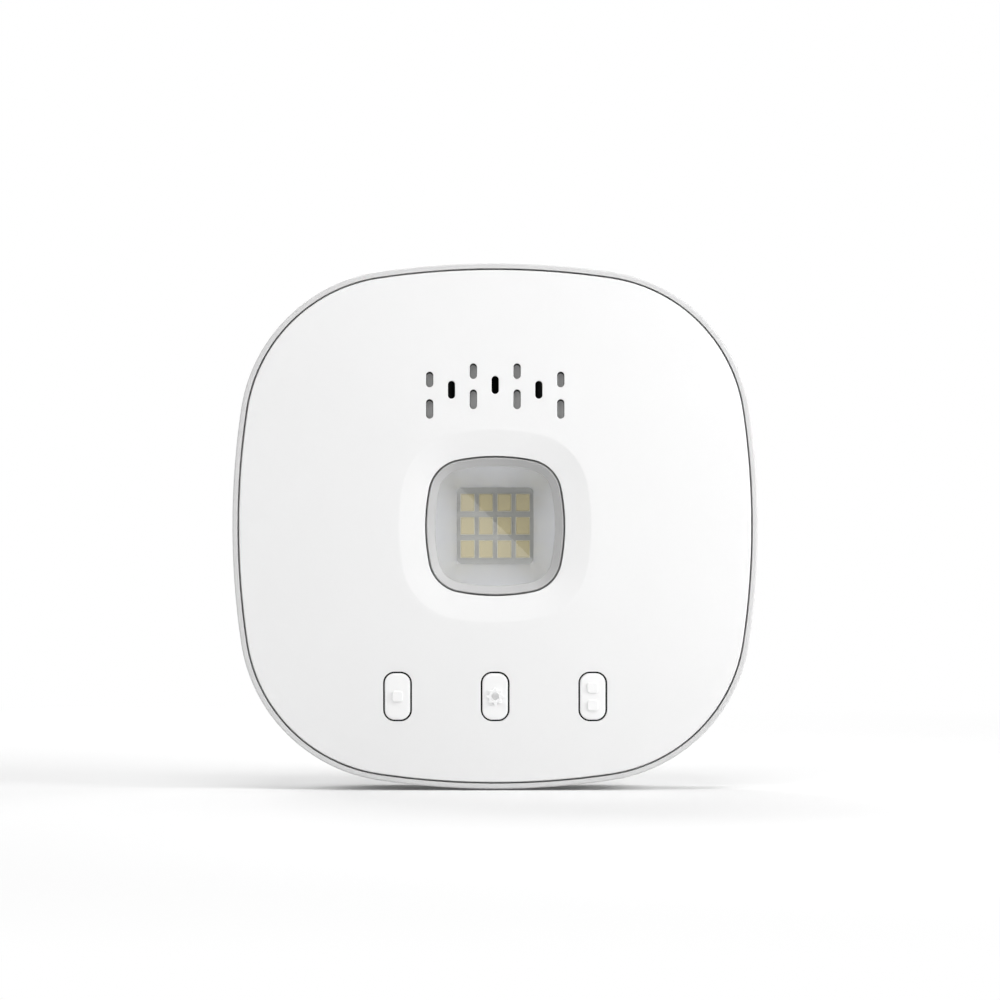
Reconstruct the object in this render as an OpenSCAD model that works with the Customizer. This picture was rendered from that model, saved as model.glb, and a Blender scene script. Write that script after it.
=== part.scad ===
// Square wall hub that opens a garage door: light window, sounder, three buttons and a slide-on wall bracket.
// Each piece is drawn with x to the right, y up the wall and z out from the wall, and place() stands it up.

/* [Body] */
// Side of the square body at its rim
body_side = 125; // [123:1:150]
// Depth from the wall to the top of the panel's crown
body_depth = 33; // [30:0.5:40]
// Radius of the long arc that each side follows at the rim
side_r = 189; // [170:1:260]
// Radius of the body's corners at the rim
corner_r = 38.7; // [34:0.1:42]
// Thickness of the housing's side wall
wall_t = 2.4; // [2:0.1:3]
// Thickness of the housing's back
back_t = 2.2; // [1.6:0.1:3]
// Gap between the housing's back and the wall
back_gap = 0.8; // [0.5:0.1:1.2]
// How far each side leans in towards the back
side_draft = 1.5; // [0.5:0.1:2.5]
// Radius of the housing's back edge
back_round = 4; // [2.5:0.5:5]
// Radius of the rim's outer edge
rim_round = 0.4; // [0.2:0.1:1.1]

/* [Panel] */
// How far the panel's middle stands above its edge
crown_h = 1.6; // [0.8:0.1:2.4]
// Distance from the body's side to the middle of the line round the panel
panel_inset = 1.43; // [1.3:0.01:2]
// Width of the line between the panel and the rim
panel_gap = 0.4; // [0.2:0.05:0.5]
// Thickness of the panel
panel_t = 2.2; // [1.8:0.1:3]
// Height of the panel's edge above its seat in the housing
panel_edge_h = 2.6; // [2.2:0.1:3.2]
// Radius of the panel's edge
panel_edge_r = 0.3; // [0.2:0.1:1]
// Depth of the skirt that goes into the housing
skirt_h = 4.6; // [3:0.1:6]
// Thickness of the skirt
skirt_t = 1.6; // [1.2:0.1:2]

/* [Light] */
// Half width of the line round the light bezel
lens_half = 16.47; // [14.5:0.01:18]
// Radius of the long arc that each side of the bezel follows
lens_side_r = 45.4; // [40:0.1:80]
// Radius of the bezel's corners
lens_corner_r = 8.46; // [7.5:0.01:10]
// Half width of the dish in the panel
dish_half = 22.9; // [21.5:0.1:23.5]
// Depth of the dish below the panel's crown
dish_depth = 1.02; // [0.5:0.01:1.3]
// Width of the bezel's bevel, seen from the front
bevel_w = 2.07; // [1.2:0.01:2.5]
// Height of the bezel's bevel
bevel_h = 1.85; // [1:0.01:2.2]
// Thickness of the clear window
window_t = 1.5; // [1:0.1:2]
// Height of the reflector
reflector_h = 7.4; // [6:0.1:9]
// Half width of the reflector's square opening
array_half = 9.2; // [8.8:0.1:10]
// Distance between the LED columns
led_pitch_x = 4.42; // [4:0.01:4.6]
// Distance between the LED rows
led_pitch_y = 5.58; // [5:0.01:6]
// Width of one LED
led_w = 3.45; // [2.8:0.01:3.6]
// Height of one LED
led_h = 4.28; // [3.5:0.01:4.6]
// Thickness of one LED
led_t = 0.7; // [0.5:0.1:1]

/* [Sounder] */
// Distance from the body's top edge to the sounder's middle
sounder_edge = 29.5; // [28:0.1:30]
// Radius of the sounder's frame
sounder_r = 12; // [11.8:0.1:12.4]
// Height of the sounder's frame
sounder_h = 7; // [5:0.1:8]
// Distance between the slot columns
slot_pitch = 5.19; // [4.6:0.01:5.2]
// Width of one slot
slot_w = 1.6; // [1.2:0.1:2]
// Depth of the blind slots
slot_depth = 1.2; // [0.6:0.1:1.3]

/* [Buttons] */
// Distance from the body's bottom edge to the middle of the button row
button_edge = 22; // [20:0.1:24]
// Distance between the buttons
button_pitch = 23.2; // [16:0.1:25]
// Width of one button
button_w = 6.15; // [5:0.05:8]
// Height of one button
button_h = 11.15; // [8:0.05:13.5]
// Radius of the buttons' corners
button_corner_r = 2.4; // [1:0.1:2.4]
// Gap between a button and the panel
button_gap = 0.35; // [0.2:0.05:0.5]
// How far a button travels
button_travel = 0.5; // [0.3:0.1:0.7]
// How far the icons stand proud
icon_h = 0.5; // [0.2:0.05:0.6]

/* [Boards] */
// Thickness of the main board
board_t = 1.6; // [1:0.1:2]
// Gap between the main board and the housing's side
board_margin = 10.1; // [9:0.1:12]
// Thickness of the LED board
led_board_t = 1; // [0.8:0.1:1.6]
// Half width of the LED board
led_board_half = 15; // [14.5:0.1:16]
// Thickness of the heat spreader
spreader_t = 1.5; // [1:0.1:2]
// Width of the power inlet
inlet_w = 7.8; // [7:0.1:9]
// Height of the power inlet
inlet_h = 3; // [2.6:0.1:3.4]

/* [Bracket] */
// Width of the wall bracket over its rails
bracket_w = 50; // [40:1:54]
// Height of the wall bracket
bracket_h = 66; // [60:1:70]
// Distance from the body's middle up to the bracket's middle
bracket_rise = 3; // [0:0.5:4]
// Thickness of the bracket's foot on the wall
foot_t = 3.1; // [2.8:0.1:3.4]
// Thickness of the bracket's rails
rail_t = 2.1; // [1.6:0.1:2.6]
// How far the rails reach past the foot
rail_reach = 3.8; // [3:0.1:5]
// Distance between the wall screws
wall_screw_pitch = 30; // [24:1:34]
// Radius of the wall screw holes
wall_screw_r = 2.25; // [1.8:0.05:2.6]

/* [Screws] */
// Radius of the case screws' shanks
case_screw_r = 1.45; // [1.2:0.05:1.6]
// Radius of the board screws' shanks
board_screw_r = 1.2; // [1:0.05:1.3]

/* [Hidden] */

// Clearances and overruns
over = 1;
fit_gap = 0.2;
slide_gap = 0.3;
seat_gap = 0.1;
thread_gap = 0.05;

// Smoothness of the curves
$fn = 48;
body_side_steps = 3;
body_corner_steps = 10;
light_side_steps = 2;
light_corner_steps = 6;
end_steps = 8;
crown_shares = [0.9, 0.75, 0.5, 0.25];
under_shares = [0.8, 0.5];
round_angles = [0, 30, 60, 90];
back_angles = [90, 60, 30, 0];

// Heights above the wall, from the back to the front
back_z = back_gap;
floor_z = back_z + back_t;
root_z = back_z + back_t / 2;
apex_z = body_depth;
edge_z = apex_z - crown_h;
shelf_z = edge_z - panel_edge_h;
rim_drop = 0.2;
rim_z = edge_z - rim_drop;

// Half widths of the body's outlines
body_half = body_side / 2;
line_half = body_half - panel_inset;
panel_half = line_half - panel_gap / 2;
seat_half = line_half + panel_gap / 2;
inner_half = body_half - wall_t;
skirt_half = inner_half - fit_gap;
lid_half = panel_half - panel_edge_r;

// Light stack, from the dish down to the main board
lip_t = 0.4;
lip_w = 1.1;
bezel_flange_w = 1.8;
bezel_half = lens_half - fit_gap;
opening_half = lens_half + fit_gap;
lip_half = bezel_half - bevel_w;
pocket_half = lip_half + lip_w;
window_half = pocket_half - fit_gap;
flange_half = bezel_half + bezel_flange_w;
dish_z = crown_z(dish_half) - dish_depth;
lip_z = dish_z - bevel_h - lip_t;
window_z = lip_z - seat_gap - window_t;
led_board_z = window_z - reflector_h;
spreader_z = led_board_z - led_board_t;
board_top = spreader_z - spreader_t;
board_z = board_top - board_t;
collar_w = 2.8;
collar_half = opening_half + collar_w;
collar_z = lip_z + fit_gap;

// LED array
led_columns = 4;
led_rows = 3;
led_frame_w = 0.3;
led_floor_t = 0.2;
array_corner_r = 1.2;
array_side_r = 400;
array_wall_h = 1;
reflector_t = 1.1;
reflector_foot_w = 1.3;
reflector_flange_w = 2.1;
reflector_flange_t = 0.8;
spreader_margin = 1;
spreader_half = led_board_half + spreader_margin;
link_pin_pitch = 2.54;
link_pins = 4;
link_pin_r = 0.32;
link_w = 2.5;
link_l = 11;
link_inset = 1.6;
link_stick_out = 0.5;
led_screw_r = 1;
led_screw_head_r = 2;
led_screw_head_h = 1.3;
led_screw_l = 3.4;
led_screw_inset = 2.5;
led_board_corner = 1.5;

// Sounder
sounder_y = body_half - sounder_edge;
sounder_pad_z = collar_z;
gasket_t = 1.4;
gasket_w = 1.5;
sounder_ring_t = 1.2;
sounder_ring_h = 4.2;
sounder_wall_t = 1;
sounder_lip_t = 0.8;
sounder_front_z = sounder_pad_z - gasket_t;
sounder_back_z = sounder_front_z - sounder_h;
magnet_r = 6;
magnet_h = 3.4;
magnet_stick_out = 1.6;
cone_t = 0.4;
cone_dip = 2.2;
cone_dome_r = 3.5;
// Slots: column from the middle, rise and length as shares of the column pitch, and whether one goes through
slot_shares = [
  [0, 0.1, 0.825, true],
  [1, 0.73, 0.71, false], [1, -0.56, 0.9, false],
  [2, -0.12, 0.82, true],
  [3, 0.35, 0.71, false], [3, -1, 0.89, false]];

// Buttons and switches
button_y = button_edge - body_half;
button_rim = 1.25;
button_flange_t = 1;
button_edge_r = 0.5;
button_stem_r = 1.6;
pad_margin = 2;
pad_z = collar_z;
flange_top_z = pad_z - fit_gap;
flange_z = flange_top_z - button_flange_t;
switch_side = 6;
switch_h = 3.6;
plunger_out = 1;
plunger_in = 1;
plunger_gap = 0.15;
plunger_room = 0.4;
plunger_top = board_top + switch_h + plunger_out;
icon_side = 2.6;
icon_corner_r = 0.7;
icon_pitch = 4.15;
gear_r = 2.05;
gear_root_r = 1.45;
gear_hole_r = 0.9;
gear_teeth = 8;
gear_tooth_w = 1;
gear_tip_w = 0.4;

// Case screws and their bosses
boss_r = 4.7;
boss_neck_r = 3.6;
boss_margin = 4;
boss_xy = (diagonal(inner_half) - boss_r - boss_margin) / sqrt(2);
boss_head_depth = 5.2;
boss_step_h = 2;
boss_gap = 0.2;
boss_split_rise = 2;
boss_split_z = board_top + boss_split_rise;
screw_head_r = 2.8;
screw_head_h = 2.1;
screw_head_gap = 0.3;
screw_seat_z = back_z + boss_head_depth;
screw_tip_gap = 1.5;
cover_boss_r = 3.3;
cover_boss_floor = 2.6;
cross_w = 0.7;
cross_l = 2.8;
cross_depth = 1;

// Main board
board_half = inner_half - board_margin;
board_tail = 6;
board_boss_gap = 1;
board_cut = boss_xy * 2 - (boss_neck_r + board_boss_gap) * sqrt(2);
post_r = 3;
post_x = board_half - post_r * 2;
post_y = 20;
board_screw_gap = 0.1;
board_screw_head_r = 2.4;
board_screw_head_h = 1.4;
board_screw_depth = 7;

// Recess for the wall bracket
bracket_t = foot_t + rail_t;
recess_half = bracket_w / 2 + fit_gap;
recess_roof_z = bracket_t + slide_gap;
recess_wall_t = 2;
recess_neck_half = bracket_w / 2 - rail_reach + slide_gap;
recess_lip_z = foot_t - slide_gap;
bracket_top = bracket_rise + bracket_h / 2;
bracket_bottom = bracket_rise - bracket_h / 2;
recess_top = bracket_top + slide_gap;
latch_w = 8;
latch_l = 20;
latch_slit = 1.2;
latch_bump_l = 3;
latch_bump_h = 0.7;
groove_depth = 1;
bracket_corner_r = 3;
countersink_h = 2;
countersink_w = 2;
wall_screw_drop = 4;

// Vents in the back
vent_count = 9;
vent_pitch = 4.8;
vent_w = 1.6;
vent_l = 8;
vent_rise = 5;

// Power inlet
inlet_depth = 5.6;
inlet_shell_t = 0.3;
inlet_tongue_t = 0.7;
inlet_tongue_share = 0.72;
notch_w = 11.4;
notch_h = 6.6;
notch_corner_r = 1.6;
notch_z = board_z - inlet_h / 2;
inlet_overhang = 1;
inlet_mouth_y = -board_half - board_tail - inlet_overhang;

// Radio, chips and other parts on the main board: places are shares of the board's half width
wifi_w = 16;
wifi_l = 24;
wifi_t = 0.8;
wifi_x_share = -0.64;
wifi_y_share = 0.42;
shield_side = 14;
shield_h = 2.2;
shield_t = 0.3;
shield_drop = 3.6;
coil_turns = 8;
coil_pitch = 2;
coil_r = 2.4;
coil_wire_r = 0.4;
coil_steps = 12;
coil_sides = 6;
coil_x_share = -0.68;
coil_y_share = -0.46;
processor_side = 10;
processor_h = 1.2;
processor_x_share = -0.64;
processor_y_share = -0.1;
memory_w = 6;
memory_l = 5;
memory_h = 1;
memory_x_share = -0.42;
memory_y_share = 0.02;
driver_w = 5;
driver_l = 4;
driver_h = 1.5;
driver_x_share = 0.46;
driver_y_shares = [-0.38, 0.12];
crystal_w = 3.2;
crystal_l = 2.5;
crystal_h = 0.9;
crystal_x_share = -0.4;
crystal_y_share = -0.26;
inductor_side = 9;
inductor_h = 4.5;
inductor_corner_r = 1.5;
inductor_x_share = 0.66;
inductor_y_share = -0.26;
capacitor_r = 4;
capacitor_h = 8;
capacitor_x_share = 0.68;
capacitor_y_shares = [0.02, 0.22];
small_w = 1;
small_l = 1.6;
small_h = 0.6;
small_pitch = 3;
small_columns = 6;
small_rows = 3;
small_x_share = 0.6;
small_y_share = 0.62;

// Sounder lead
socket_x = 19;
socket_y = sounder_y + 8;
socket_w = 6;
socket_l = 4.6;
socket_h = 3.4;
socket_t = 0.8;
plug_stick_out = 1.2;
wire_r = 0.45;
wire_spread = 0.8;
wire_run = 1.2;
wire_sides = 8;
wire_steps = 5;
wire_lift = 1.6;

// Height of the panel's crown where its outline has this half width
function crown_z(half) = apex_z - crown_h * pow(half / panel_half, 2);

// Height of the panel's crown at a point, from the outline of its kind that runs through the point
function crown_at(p) =
  let (
    a = side_r - body_half,
    side = a + panel_half,
    corner = corner_r - body_half + panel_half,
    c = corner_centre(panel_half, side, corner),
    t = atan2(c, c + a),
    r = max(norm(p), over),
    u = [max(abs(p.x), abs(p.y)), min(abs(p.x), abs(p.y))] / r,
    on_side = u.y * (side * cos(t) - a) < u.x * side * sin(t),
    reach = on_side ? sqrt(side * side - pow(a * u.y, 2)) - a * u.x
      : c * (u.x + u.y) + sqrt(corner * corner - pow(c * (u.x - u.y), 2)))
  crown_z(panel_half * r / reach);

// Points of a square whose sides are long arcs, tangent to its round corners
function arc_points(centre, r, from, to, steps) =
  [for (i = [0:steps - 1]) let (a = from + (to - from) * i / steps) centre + r * [cos(a), sin(a)]];

function corner_centre(half, side, corner) =
  let (a = side - half, d = side - corner) (sqrt(2 * d * d - a * a) - a) / 2;

function rounded(half, side, corner, side_steps, corner_steps) =
  let (
    a = side - half,
    c = corner_centre(half, side, corner),
    t = atan2(c, c + a),
    quarter = concat(
      arc_points([-a, 0], side, 0, t, side_steps),
      arc_points([c, c], corner, t, 90 - t, corner_steps),
      arc_points([0, -a], side, 90 - t, 90, side_steps)))
  [for (q = [0:3]) for (p = quarter)
    [p.x * cos(90 * q) - p.y * sin(90 * q), p.x * sin(90 * q) + p.y * cos(90 * q)]];

// Outlines that keep an even distance from the body's side, the bezel's line and the LED array
function body_line(half) = rounded(half, side_r - body_half + half, corner_r - body_half + half,
  body_side_steps, body_corner_steps);

function light_line(half) = rounded(half, lens_side_r - lens_half + half, lens_corner_r - lens_half + half,
  light_side_steps, light_corner_steps);

function array_line(half) = rounded(half, array_side_r, array_corner_r - array_half + half,
  light_side_steps, light_corner_steps);

// Distance from the middle to the corner of an outline of the body
function diagonal(half) = corner_centre(body_half, side_r, corner_r) * sqrt(2) + corner_r - body_half + half;

// Points of a rectangle with round corners
function rect_points(w, h, r) =
  [for (q = [0:3]) for (i = [0:end_steps])
    let (a = 90 * (q + i / end_steps), sx = (q == 0 || q == 3) ? 1 : -1, sy = q < 2 ? 1 : -1)
    [sx * (w / 2 - r) + r * cos(a), sy * (h / 2 - r) + r * sin(a)]];

// One ring of a loft: an outline at a height
function at(points, z) = [for (p = points) [p.x, p.y, z]];

// Stands a piece up against the wall
module place() {
  rotate([90, 0, 0]) children();
}

// Closed skin through rings of equal point count, from the lowest ring to the highest
module loft(rings) {
  n = len(rings[0]);
  last = len(rings) - 1;
  polyhedron(
    points = [for (ring = rings) for (p = ring) p],
    faces = concat(
      [[for (i = [0:n - 1]) i]],
      [for (k = [0:last - 1]) for (i = [0:n - 1])
        [k * n + i, (k + 1) * n + i, (k + 1) * n + (i + 1) % n, k * n + (i + 1) % n]],
      [[for (i = [n - 1:-1:0]) last * n + i]]));
}

// Block of a given outline between two heights
module prism(points, from, to) {
  translate([0, 0, from]) linear_extrude(to - from) polygon(points);
}

// Box centred on x and y, standing on a height
module block(size, at_xy, z) {
  translate([at_xy.x - size.x / 2, at_xy.y - size.y / 2, z]) cube(size);
}

module post(r, at_xy, from, to) {
  translate([at_xy.x, at_xy.y, from]) cylinder(r = r, h = to - from);
}

module at_corners(x, y) {
  for (sx = [-1, 1]) for (sy = [-1, 1]) translate([sx * x, sy * y, 0]) children();
}

module at_buttons() {
  for (i = [-1:1]) translate([i * button_pitch, button_y, 0]) children();
}

// Pan-head screw that points up from its seat, with a cross recess in its head
module screw(shank_r, head_r, head_h, length) {
  difference() {
    union() {
      translate([0, 0, -head_h]) cylinder(r = head_r, h = head_h);
      cylinder(r = shank_r, h = length);
    }
    translate([0, 0, -head_h]) for (turn = [0, 90]) rotate(turn)
      block([cross_l, cross_w, cross_depth + over], [0, 0], -over);
  }
}

// Tube swept along a path, with a ring square to the path at each point
function unit(v) = v / norm(v);
function path_way(path, i) = unit(path[min(i + 1, len(path) - 1)] - path[max(i - 1, 0)]);
function tube_ring(p, way, r, sides) =
  let (side = unit(cross(way, abs(way.z) > 0.9 ? [0, 1, 0] : [0, 0, 1])), up = cross(way, side))
  [for (i = [0:sides - 1]) let (a = 360 * i / sides) p + r * (side * cos(a) - up * sin(a))];

module tube(path, r, sides) {
  last = len(path) - 1;
  polyhedron(
    points = [for (i = [0:last]) each tube_ring(path[i], path_way(path, i), r, sides)],
    faces = concat(
      [[for (i = [0:sides - 1]) i]],
      [for (k = [0:last - 1]) for (i = [0:sides - 1]) let (j = (i + 1) % sides)
        each [[k * sides + i, (k + 1) * sides + i, (k + 1) * sides + j],
          [k * sides + i, (k + 1) * sides + j, k * sides + j]]],
      [[for (i = [sides - 1:-1:0]) last * sides + i]]));
}

// Smooth path through a few points
function smooth(p, steps) =
  concat([for (i = [0:len(p) - 2]) for (s = [0:steps - 1])
    let (t = s / steps, a = p[max(i - 1, 0)], b = p[i], c = p[i + 1], d = p[min(i + 2, len(p) - 1)])
    b + (c - a) * t / 2 + (2 * a - 5 * b + 4 * c - d) * t * t / 2 + (3 * b - a - 3 * c + d) * pow(t, 3) / 2],
    [p[len(p) - 1]]);

// Panel with its crown and rolled edge, from its seat up
function panel_rings() = concat(
  [at(body_line(panel_half), shelf_z)],
  [for (a = round_angles)
    at(body_line(lid_half + panel_edge_r * cos(a)),
      crown_z(lid_half) - panel_edge_r + panel_edge_r * sin(a))],
  [for (s = crown_shares) at(s * body_line(lid_half), crown_z(lid_half * s))]);

// Hollow under the panel, parallel to its crown
function under_rings() =
  let (half = skirt_half - skirt_t) concat(
    [at(body_line(half), shelf_z - skirt_h - over)],
    [at(body_line(half), crown_z(half) - panel_t)],
    [for (s = under_shares) at(s * body_line(half), crown_z(half * s) - panel_t)]);

// Sounder slots: each column stands on both sides of the middle one
module slot_cuts() {
  for (slot = slot_shares) for (side = slot[0] == 0 ? [1] : [-1, 1]) {
    middle = [side * slot[0] * slot_pitch, sounder_y + slot[1] * slot_pitch];
    bottom = slot[3] ? sounder_pad_z - over : crown_at(middle) - slot_depth;
    translate(middle)
      prism(rect_points(slot_w, slot[2] * slot_pitch, slot_w / 2 - thread_gap), bottom, crown_at(middle) + over);
  }
}

module front_cover() {
  color("white") place() difference() {
    union() {
      difference() {
        union() {
          loft(panel_rings());
          prism(body_line(skirt_half), shelf_z - skirt_h, shelf_z + over);
        }
        loft(under_rings());
      }
      prism(light_line(collar_half), collar_z, crown_z(collar_half) - panel_t / 2);
      post(sounder_r + fit_gap + sounder_ring_t, [0, sounder_y], sounder_pad_z - sounder_ring_h,
        crown_z(sounder_y + sounder_r) - panel_t / 2);
      block([2 * button_pitch + button_w + 2 * (button_rim + pad_margin),
        button_h + 2 * (button_rim + pad_margin), crown_z(button_y - button_h) - panel_t / 2 - pad_z],
        [0, button_y], pad_z);
      at_corners(boss_xy, boss_xy) post(cover_boss_r, [0, 0], boss_split_z + boss_gap,
        apex_z - crown_h - panel_t / 2);
    }
    loft([at(light_line(opening_half), dish_z), at(light_line(dish_half), dish_z + dish_depth),
      at(light_line(dish_half + dish_half - opening_half), dish_z + 2 * dish_depth)]);
    prism(light_line(opening_half), collar_z - over, dish_z + over);
    post(sounder_r + fit_gap, [0, sounder_y], sounder_pad_z - sounder_ring_h - over, sounder_pad_z);
    slot_cuts();
    at_buttons() prism(rect_points(button_w + 2 * button_gap, button_h + 2 * button_gap,
      button_corner_r + button_gap), pad_z - over, apex_z + over);
    at_corners(boss_xy, boss_xy) post(case_screw_r + thread_gap, [0, 0], boss_split_z - over,
      edge_z - cover_boss_floor);
  }
}

// Housing's outer skin, from the back to the rim
function housing_rings() =
  let (back_half = body_half - side_draft) concat(
    [for (a = back_angles) at(body_line(back_half - back_round * (1 - cos(a))),
      back_z + back_round * (1 - sin(a)))],
    [for (a = round_angles) at(body_line(body_half - rim_round * (1 - cos(a))),
      rim_z - rim_round + rim_round * sin(a))]);

// Housing's hollow, up to the seat of the panel
function hollow_rings() =
  let (back_half = body_half - side_draft - wall_t, r = back_round - back_t / 2) concat(
    [for (a = back_angles) at(body_line(back_half - r * (1 - cos(a))), floor_z + r * (1 - sin(a)))],
    [for (z = [shelf_z - skirt_h - slide_gap, shelf_z + over]) at(body_line(inner_half), z)]);

module rear_housing() {
  recess_w = 2 * (recess_half + recess_wall_t);
  recess_l = recess_top + recess_wall_t + body_half;
  color("gainsboro") place() difference() {
    union() {
      difference() {
        loft(housing_rings());
        loft(hollow_rings());
        prism(body_line(seat_half), shelf_z, rim_z + over);
      }
      intersection() {
        block([recess_w, recess_l, recess_roof_z + recess_wall_t - root_z],
          [0, recess_top + recess_wall_t - recess_l / 2], root_z);
        prism(body_line(body_half - side_draft - back_round / 2), root_z, body_depth);
      }
      at_corners(boss_xy, boss_xy) {
        post(boss_r, [0, 0], root_z, screw_seat_z + boss_step_h);
        post(boss_neck_r, [0, 0], screw_seat_z, boss_split_z);
      }
      at_corners(post_x, post_y) post(post_r, [0, 0], root_z, board_z);
    }
    block([2 * recess_neck_half, recess_l, recess_roof_z], [0, recess_top - recess_l / 2], 0);
    block([2 * recess_half, recess_l, recess_roof_z - recess_lip_z], [0, recess_top - recess_l / 2],
      recess_lip_z);
    block([latch_w + 2 * fit_gap, recess_l, groove_depth + over],
      [0, bracket_rise - recess_l / 2], recess_roof_z - over);
    at_corners(boss_xy, boss_xy) {
      post(screw_head_r + screw_head_gap, [0, 0], 0, screw_seat_z);
      post(case_screw_r + screw_head_gap, [0, 0], 0, boss_split_z + over);
    }
    at_corners(post_x, post_y) post(board_screw_r + board_screw_gap, [0, 0],
      board_z - board_screw_depth - over, board_z + over);
    for (i = [0:vent_count - 1]) translate([(i - (vent_count - 1) / 2) * vent_pitch,
      recess_top + recess_wall_t + vent_rise + vent_l / 2, 0])
      prism(rect_points(vent_w, vent_l, vent_w / 2 - thread_gap), 0, floor_z + over);
    translate([0, -inner_half + over, notch_z]) rotate([90, 0, 0])
      linear_extrude(wall_t + 2 * over) polygon(rect_points(notch_w, notch_h, notch_corner_r));
  }
}

module lens_bezel() {
  color("whitesmoke") place() difference() {
    union() {
      prism(light_line(bezel_half), window_z, dish_z);
      prism(light_line(flange_half), window_z, lip_z);
    }
    prism(light_line(pocket_half), window_z - over, lip_z);
    prism(light_line(lip_half), window_z, dish_z + over);
    loft([at(light_line(lip_half), lip_z + lip_t), at(light_line(bezel_half), dish_z),
      at(light_line(bezel_half + bevel_w), dish_z + bevel_h)]);
  }
}

module lens_window() {
  color("azure", 0.4) place() prism(light_line(window_half), window_z, window_z + window_t);
}

module reflector() {
  top_half = lip_half;
  color("white") place() difference() {
    union() {
      loft([at(array_line(array_half + reflector_foot_w), led_board_z),
        at(array_line(array_half + reflector_foot_w), led_board_z + array_wall_h),
        at(light_line(top_half + reflector_t), window_z)]);
      prism(light_line(top_half + reflector_flange_w), window_z - reflector_flange_t, window_z);
    }
    loft([
      at(array_line(array_half), led_board_z - over), at(array_line(array_half), led_board_z + array_wall_h),
      at(light_line(top_half), window_z), at(light_line(top_half), window_z + over)]);
  }
}

module led_board() {
  side = 2 * led_board_half;
  color("gray") place() difference() {
    prism(rect_points(side, side, led_board_corner), spreader_z, led_board_z);
    led_screw_holes();
    link_places() post(link_pin_r + seat_gap, [0, 0], spreader_z - over, led_board_z + over);
  }
}

module led_screw_places() {
  reach = led_board_half - led_screw_inset;
  for (s = [-1, 1]) translate([s * reach, s * reach, 0]) children();
}

module led_screw_holes() {
  led_screw_places() post(led_screw_r + seat_gap, [0, 0], board_z - over, led_board_z + over);
}

module link_places() {
  for (i = [0:link_pins - 1])
    translate([link_inset - led_board_half, (i - (link_pins - 1) / 2) * link_pin_pitch, 0]) children();
}

module at_leds() {
  for (i = [0:led_columns - 1]) for (j = [0:led_rows - 1]) {
    x = (i - (led_columns - 1) / 2) * led_pitch_x;
    y = (j - (led_rows - 1) / 2) * led_pitch_y;
    translate([x, y, led_board_z]) children();
  }
}

module led_packages() {
  color("ivory") place() at_leds() difference() {
    block([led_w, led_h, led_t], [0, 0], 0);
    block([led_w - 2 * led_frame_w, led_h - 2 * led_frame_w, led_t], [0, 0], led_floor_t);
  }
}

module led_phosphors() {
  color("khaki") place() at_leds()
    block([led_w - 2 * led_frame_w, led_h - 2 * led_frame_w, led_t - led_floor_t], [0, 0], led_floor_t);
}

module heat_spreader() {
  side = 2 * spreader_half;
  color("silver") place() difference() {
    prism(rect_points(side, side, led_board_corner), board_top, spreader_z);
    led_screw_holes();
    block([link_w + 2 * fit_gap, link_l + 2 * fit_gap, spreader_t + 2 * over],
      [link_inset - led_board_half, 0], board_top - over);
  }
}

module led_board_screws() {
  color("silver") place() led_screw_places() translate([0, 0, led_board_z]) mirror([0, 0, 1])
    screw(led_screw_r, led_screw_head_r, led_screw_head_h, led_screw_l);
}

module sounder_frame() {
  color("dimgray") place() translate([0, sounder_y, sounder_back_z]) difference() {
    cylinder(r = sounder_r, h = sounder_h);
    translate([0, 0, magnet_h - magnet_stick_out])
      cylinder(r = sounder_r - sounder_wall_t, h = sounder_h);
    translate([0, 0, -over]) cylinder(r = magnet_r + seat_gap, h = sounder_h);
  }
}

module sounder_magnet() {
  color("lightgray") place() post(magnet_r, [0, sounder_y], sounder_back_z - magnet_stick_out,
    sounder_back_z + magnet_h - magnet_stick_out);
}

// Paper cone with its centre dome, seated inside the frame's rim
module sounder_cone() {
  outer = sounder_r - sounder_wall_t - seat_gap;
  color("black") place() translate([0, sounder_y, sounder_front_z - sounder_lip_t])
    rotate_extrude() polygon([
      [0, 0], [cone_dome_r, -cone_dip], [outer - sounder_wall_t, 0], [outer, 0],
      [outer, -cone_t], [outer - sounder_wall_t, -cone_t], [cone_dome_r, -cone_dip - cone_t], [0, -cone_t]]);
}

module sounder_gasket() {
  color("black") place() difference() {
    post(sounder_r, [0, sounder_y], sounder_front_z, sounder_pad_z);
    post(sounder_r - gasket_w, [0, sounder_y], sounder_front_z - over, sounder_pad_z + over);
  }
}

// Wire from the plug on the board to the sounder's frame
module sounder_wire(side) {
  wire_y = socket_y + side * wire_spread;
  wall_x = sqrt(pow(sounder_r, 2) - pow(wire_y - sounder_y - wire_r, 2));
  start = [socket_x, wire_y, board_top + socket_h + plug_stick_out + fit_gap];
  end = [wall_x + seat_gap, wire_y, sounder_back_z + 2 * wire_r];
  place() tube(smooth([start, start + [0, 0, wire_run], (start + end) / 2 + [0, 0, wire_lift],
    end + [wire_run, 0, 0], end], wire_steps), wire_r, wire_sides);
}

module sounder_wire_red() {
  color("firebrick") sounder_wire(1);
}

module sounder_wire_black() {
  color("black") sounder_wire(-1);
}

module sounder_plug() {
  color("ivory") place() block([socket_w - 2 * socket_t - fit_gap, socket_l - 2 * socket_t - fit_gap,
    socket_h - socket_t + plug_stick_out], [socket_x, socket_y], board_top + socket_t);
}

module sounder_socket() {
  color("white") place() difference() {
    block([socket_w, socket_l, socket_h], [socket_x, socket_y], board_top);
    block([socket_w - 2 * socket_t, socket_l - 2 * socket_t, socket_h], [socket_x, socket_y],
      board_top + socket_t);
  }
}

// Square board with cut corners that clear the case bosses, and a tail for the power inlet
module board_outline() {
  tail = board_half + board_tail;
  intersection() {
    translate([-board_half, -tail]) square([2 * board_half, tail + board_half]);
    polygon([[board_cut, 0], [0, board_cut], [-board_cut, 0], [0, -board_cut]]);
  }
}

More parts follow.
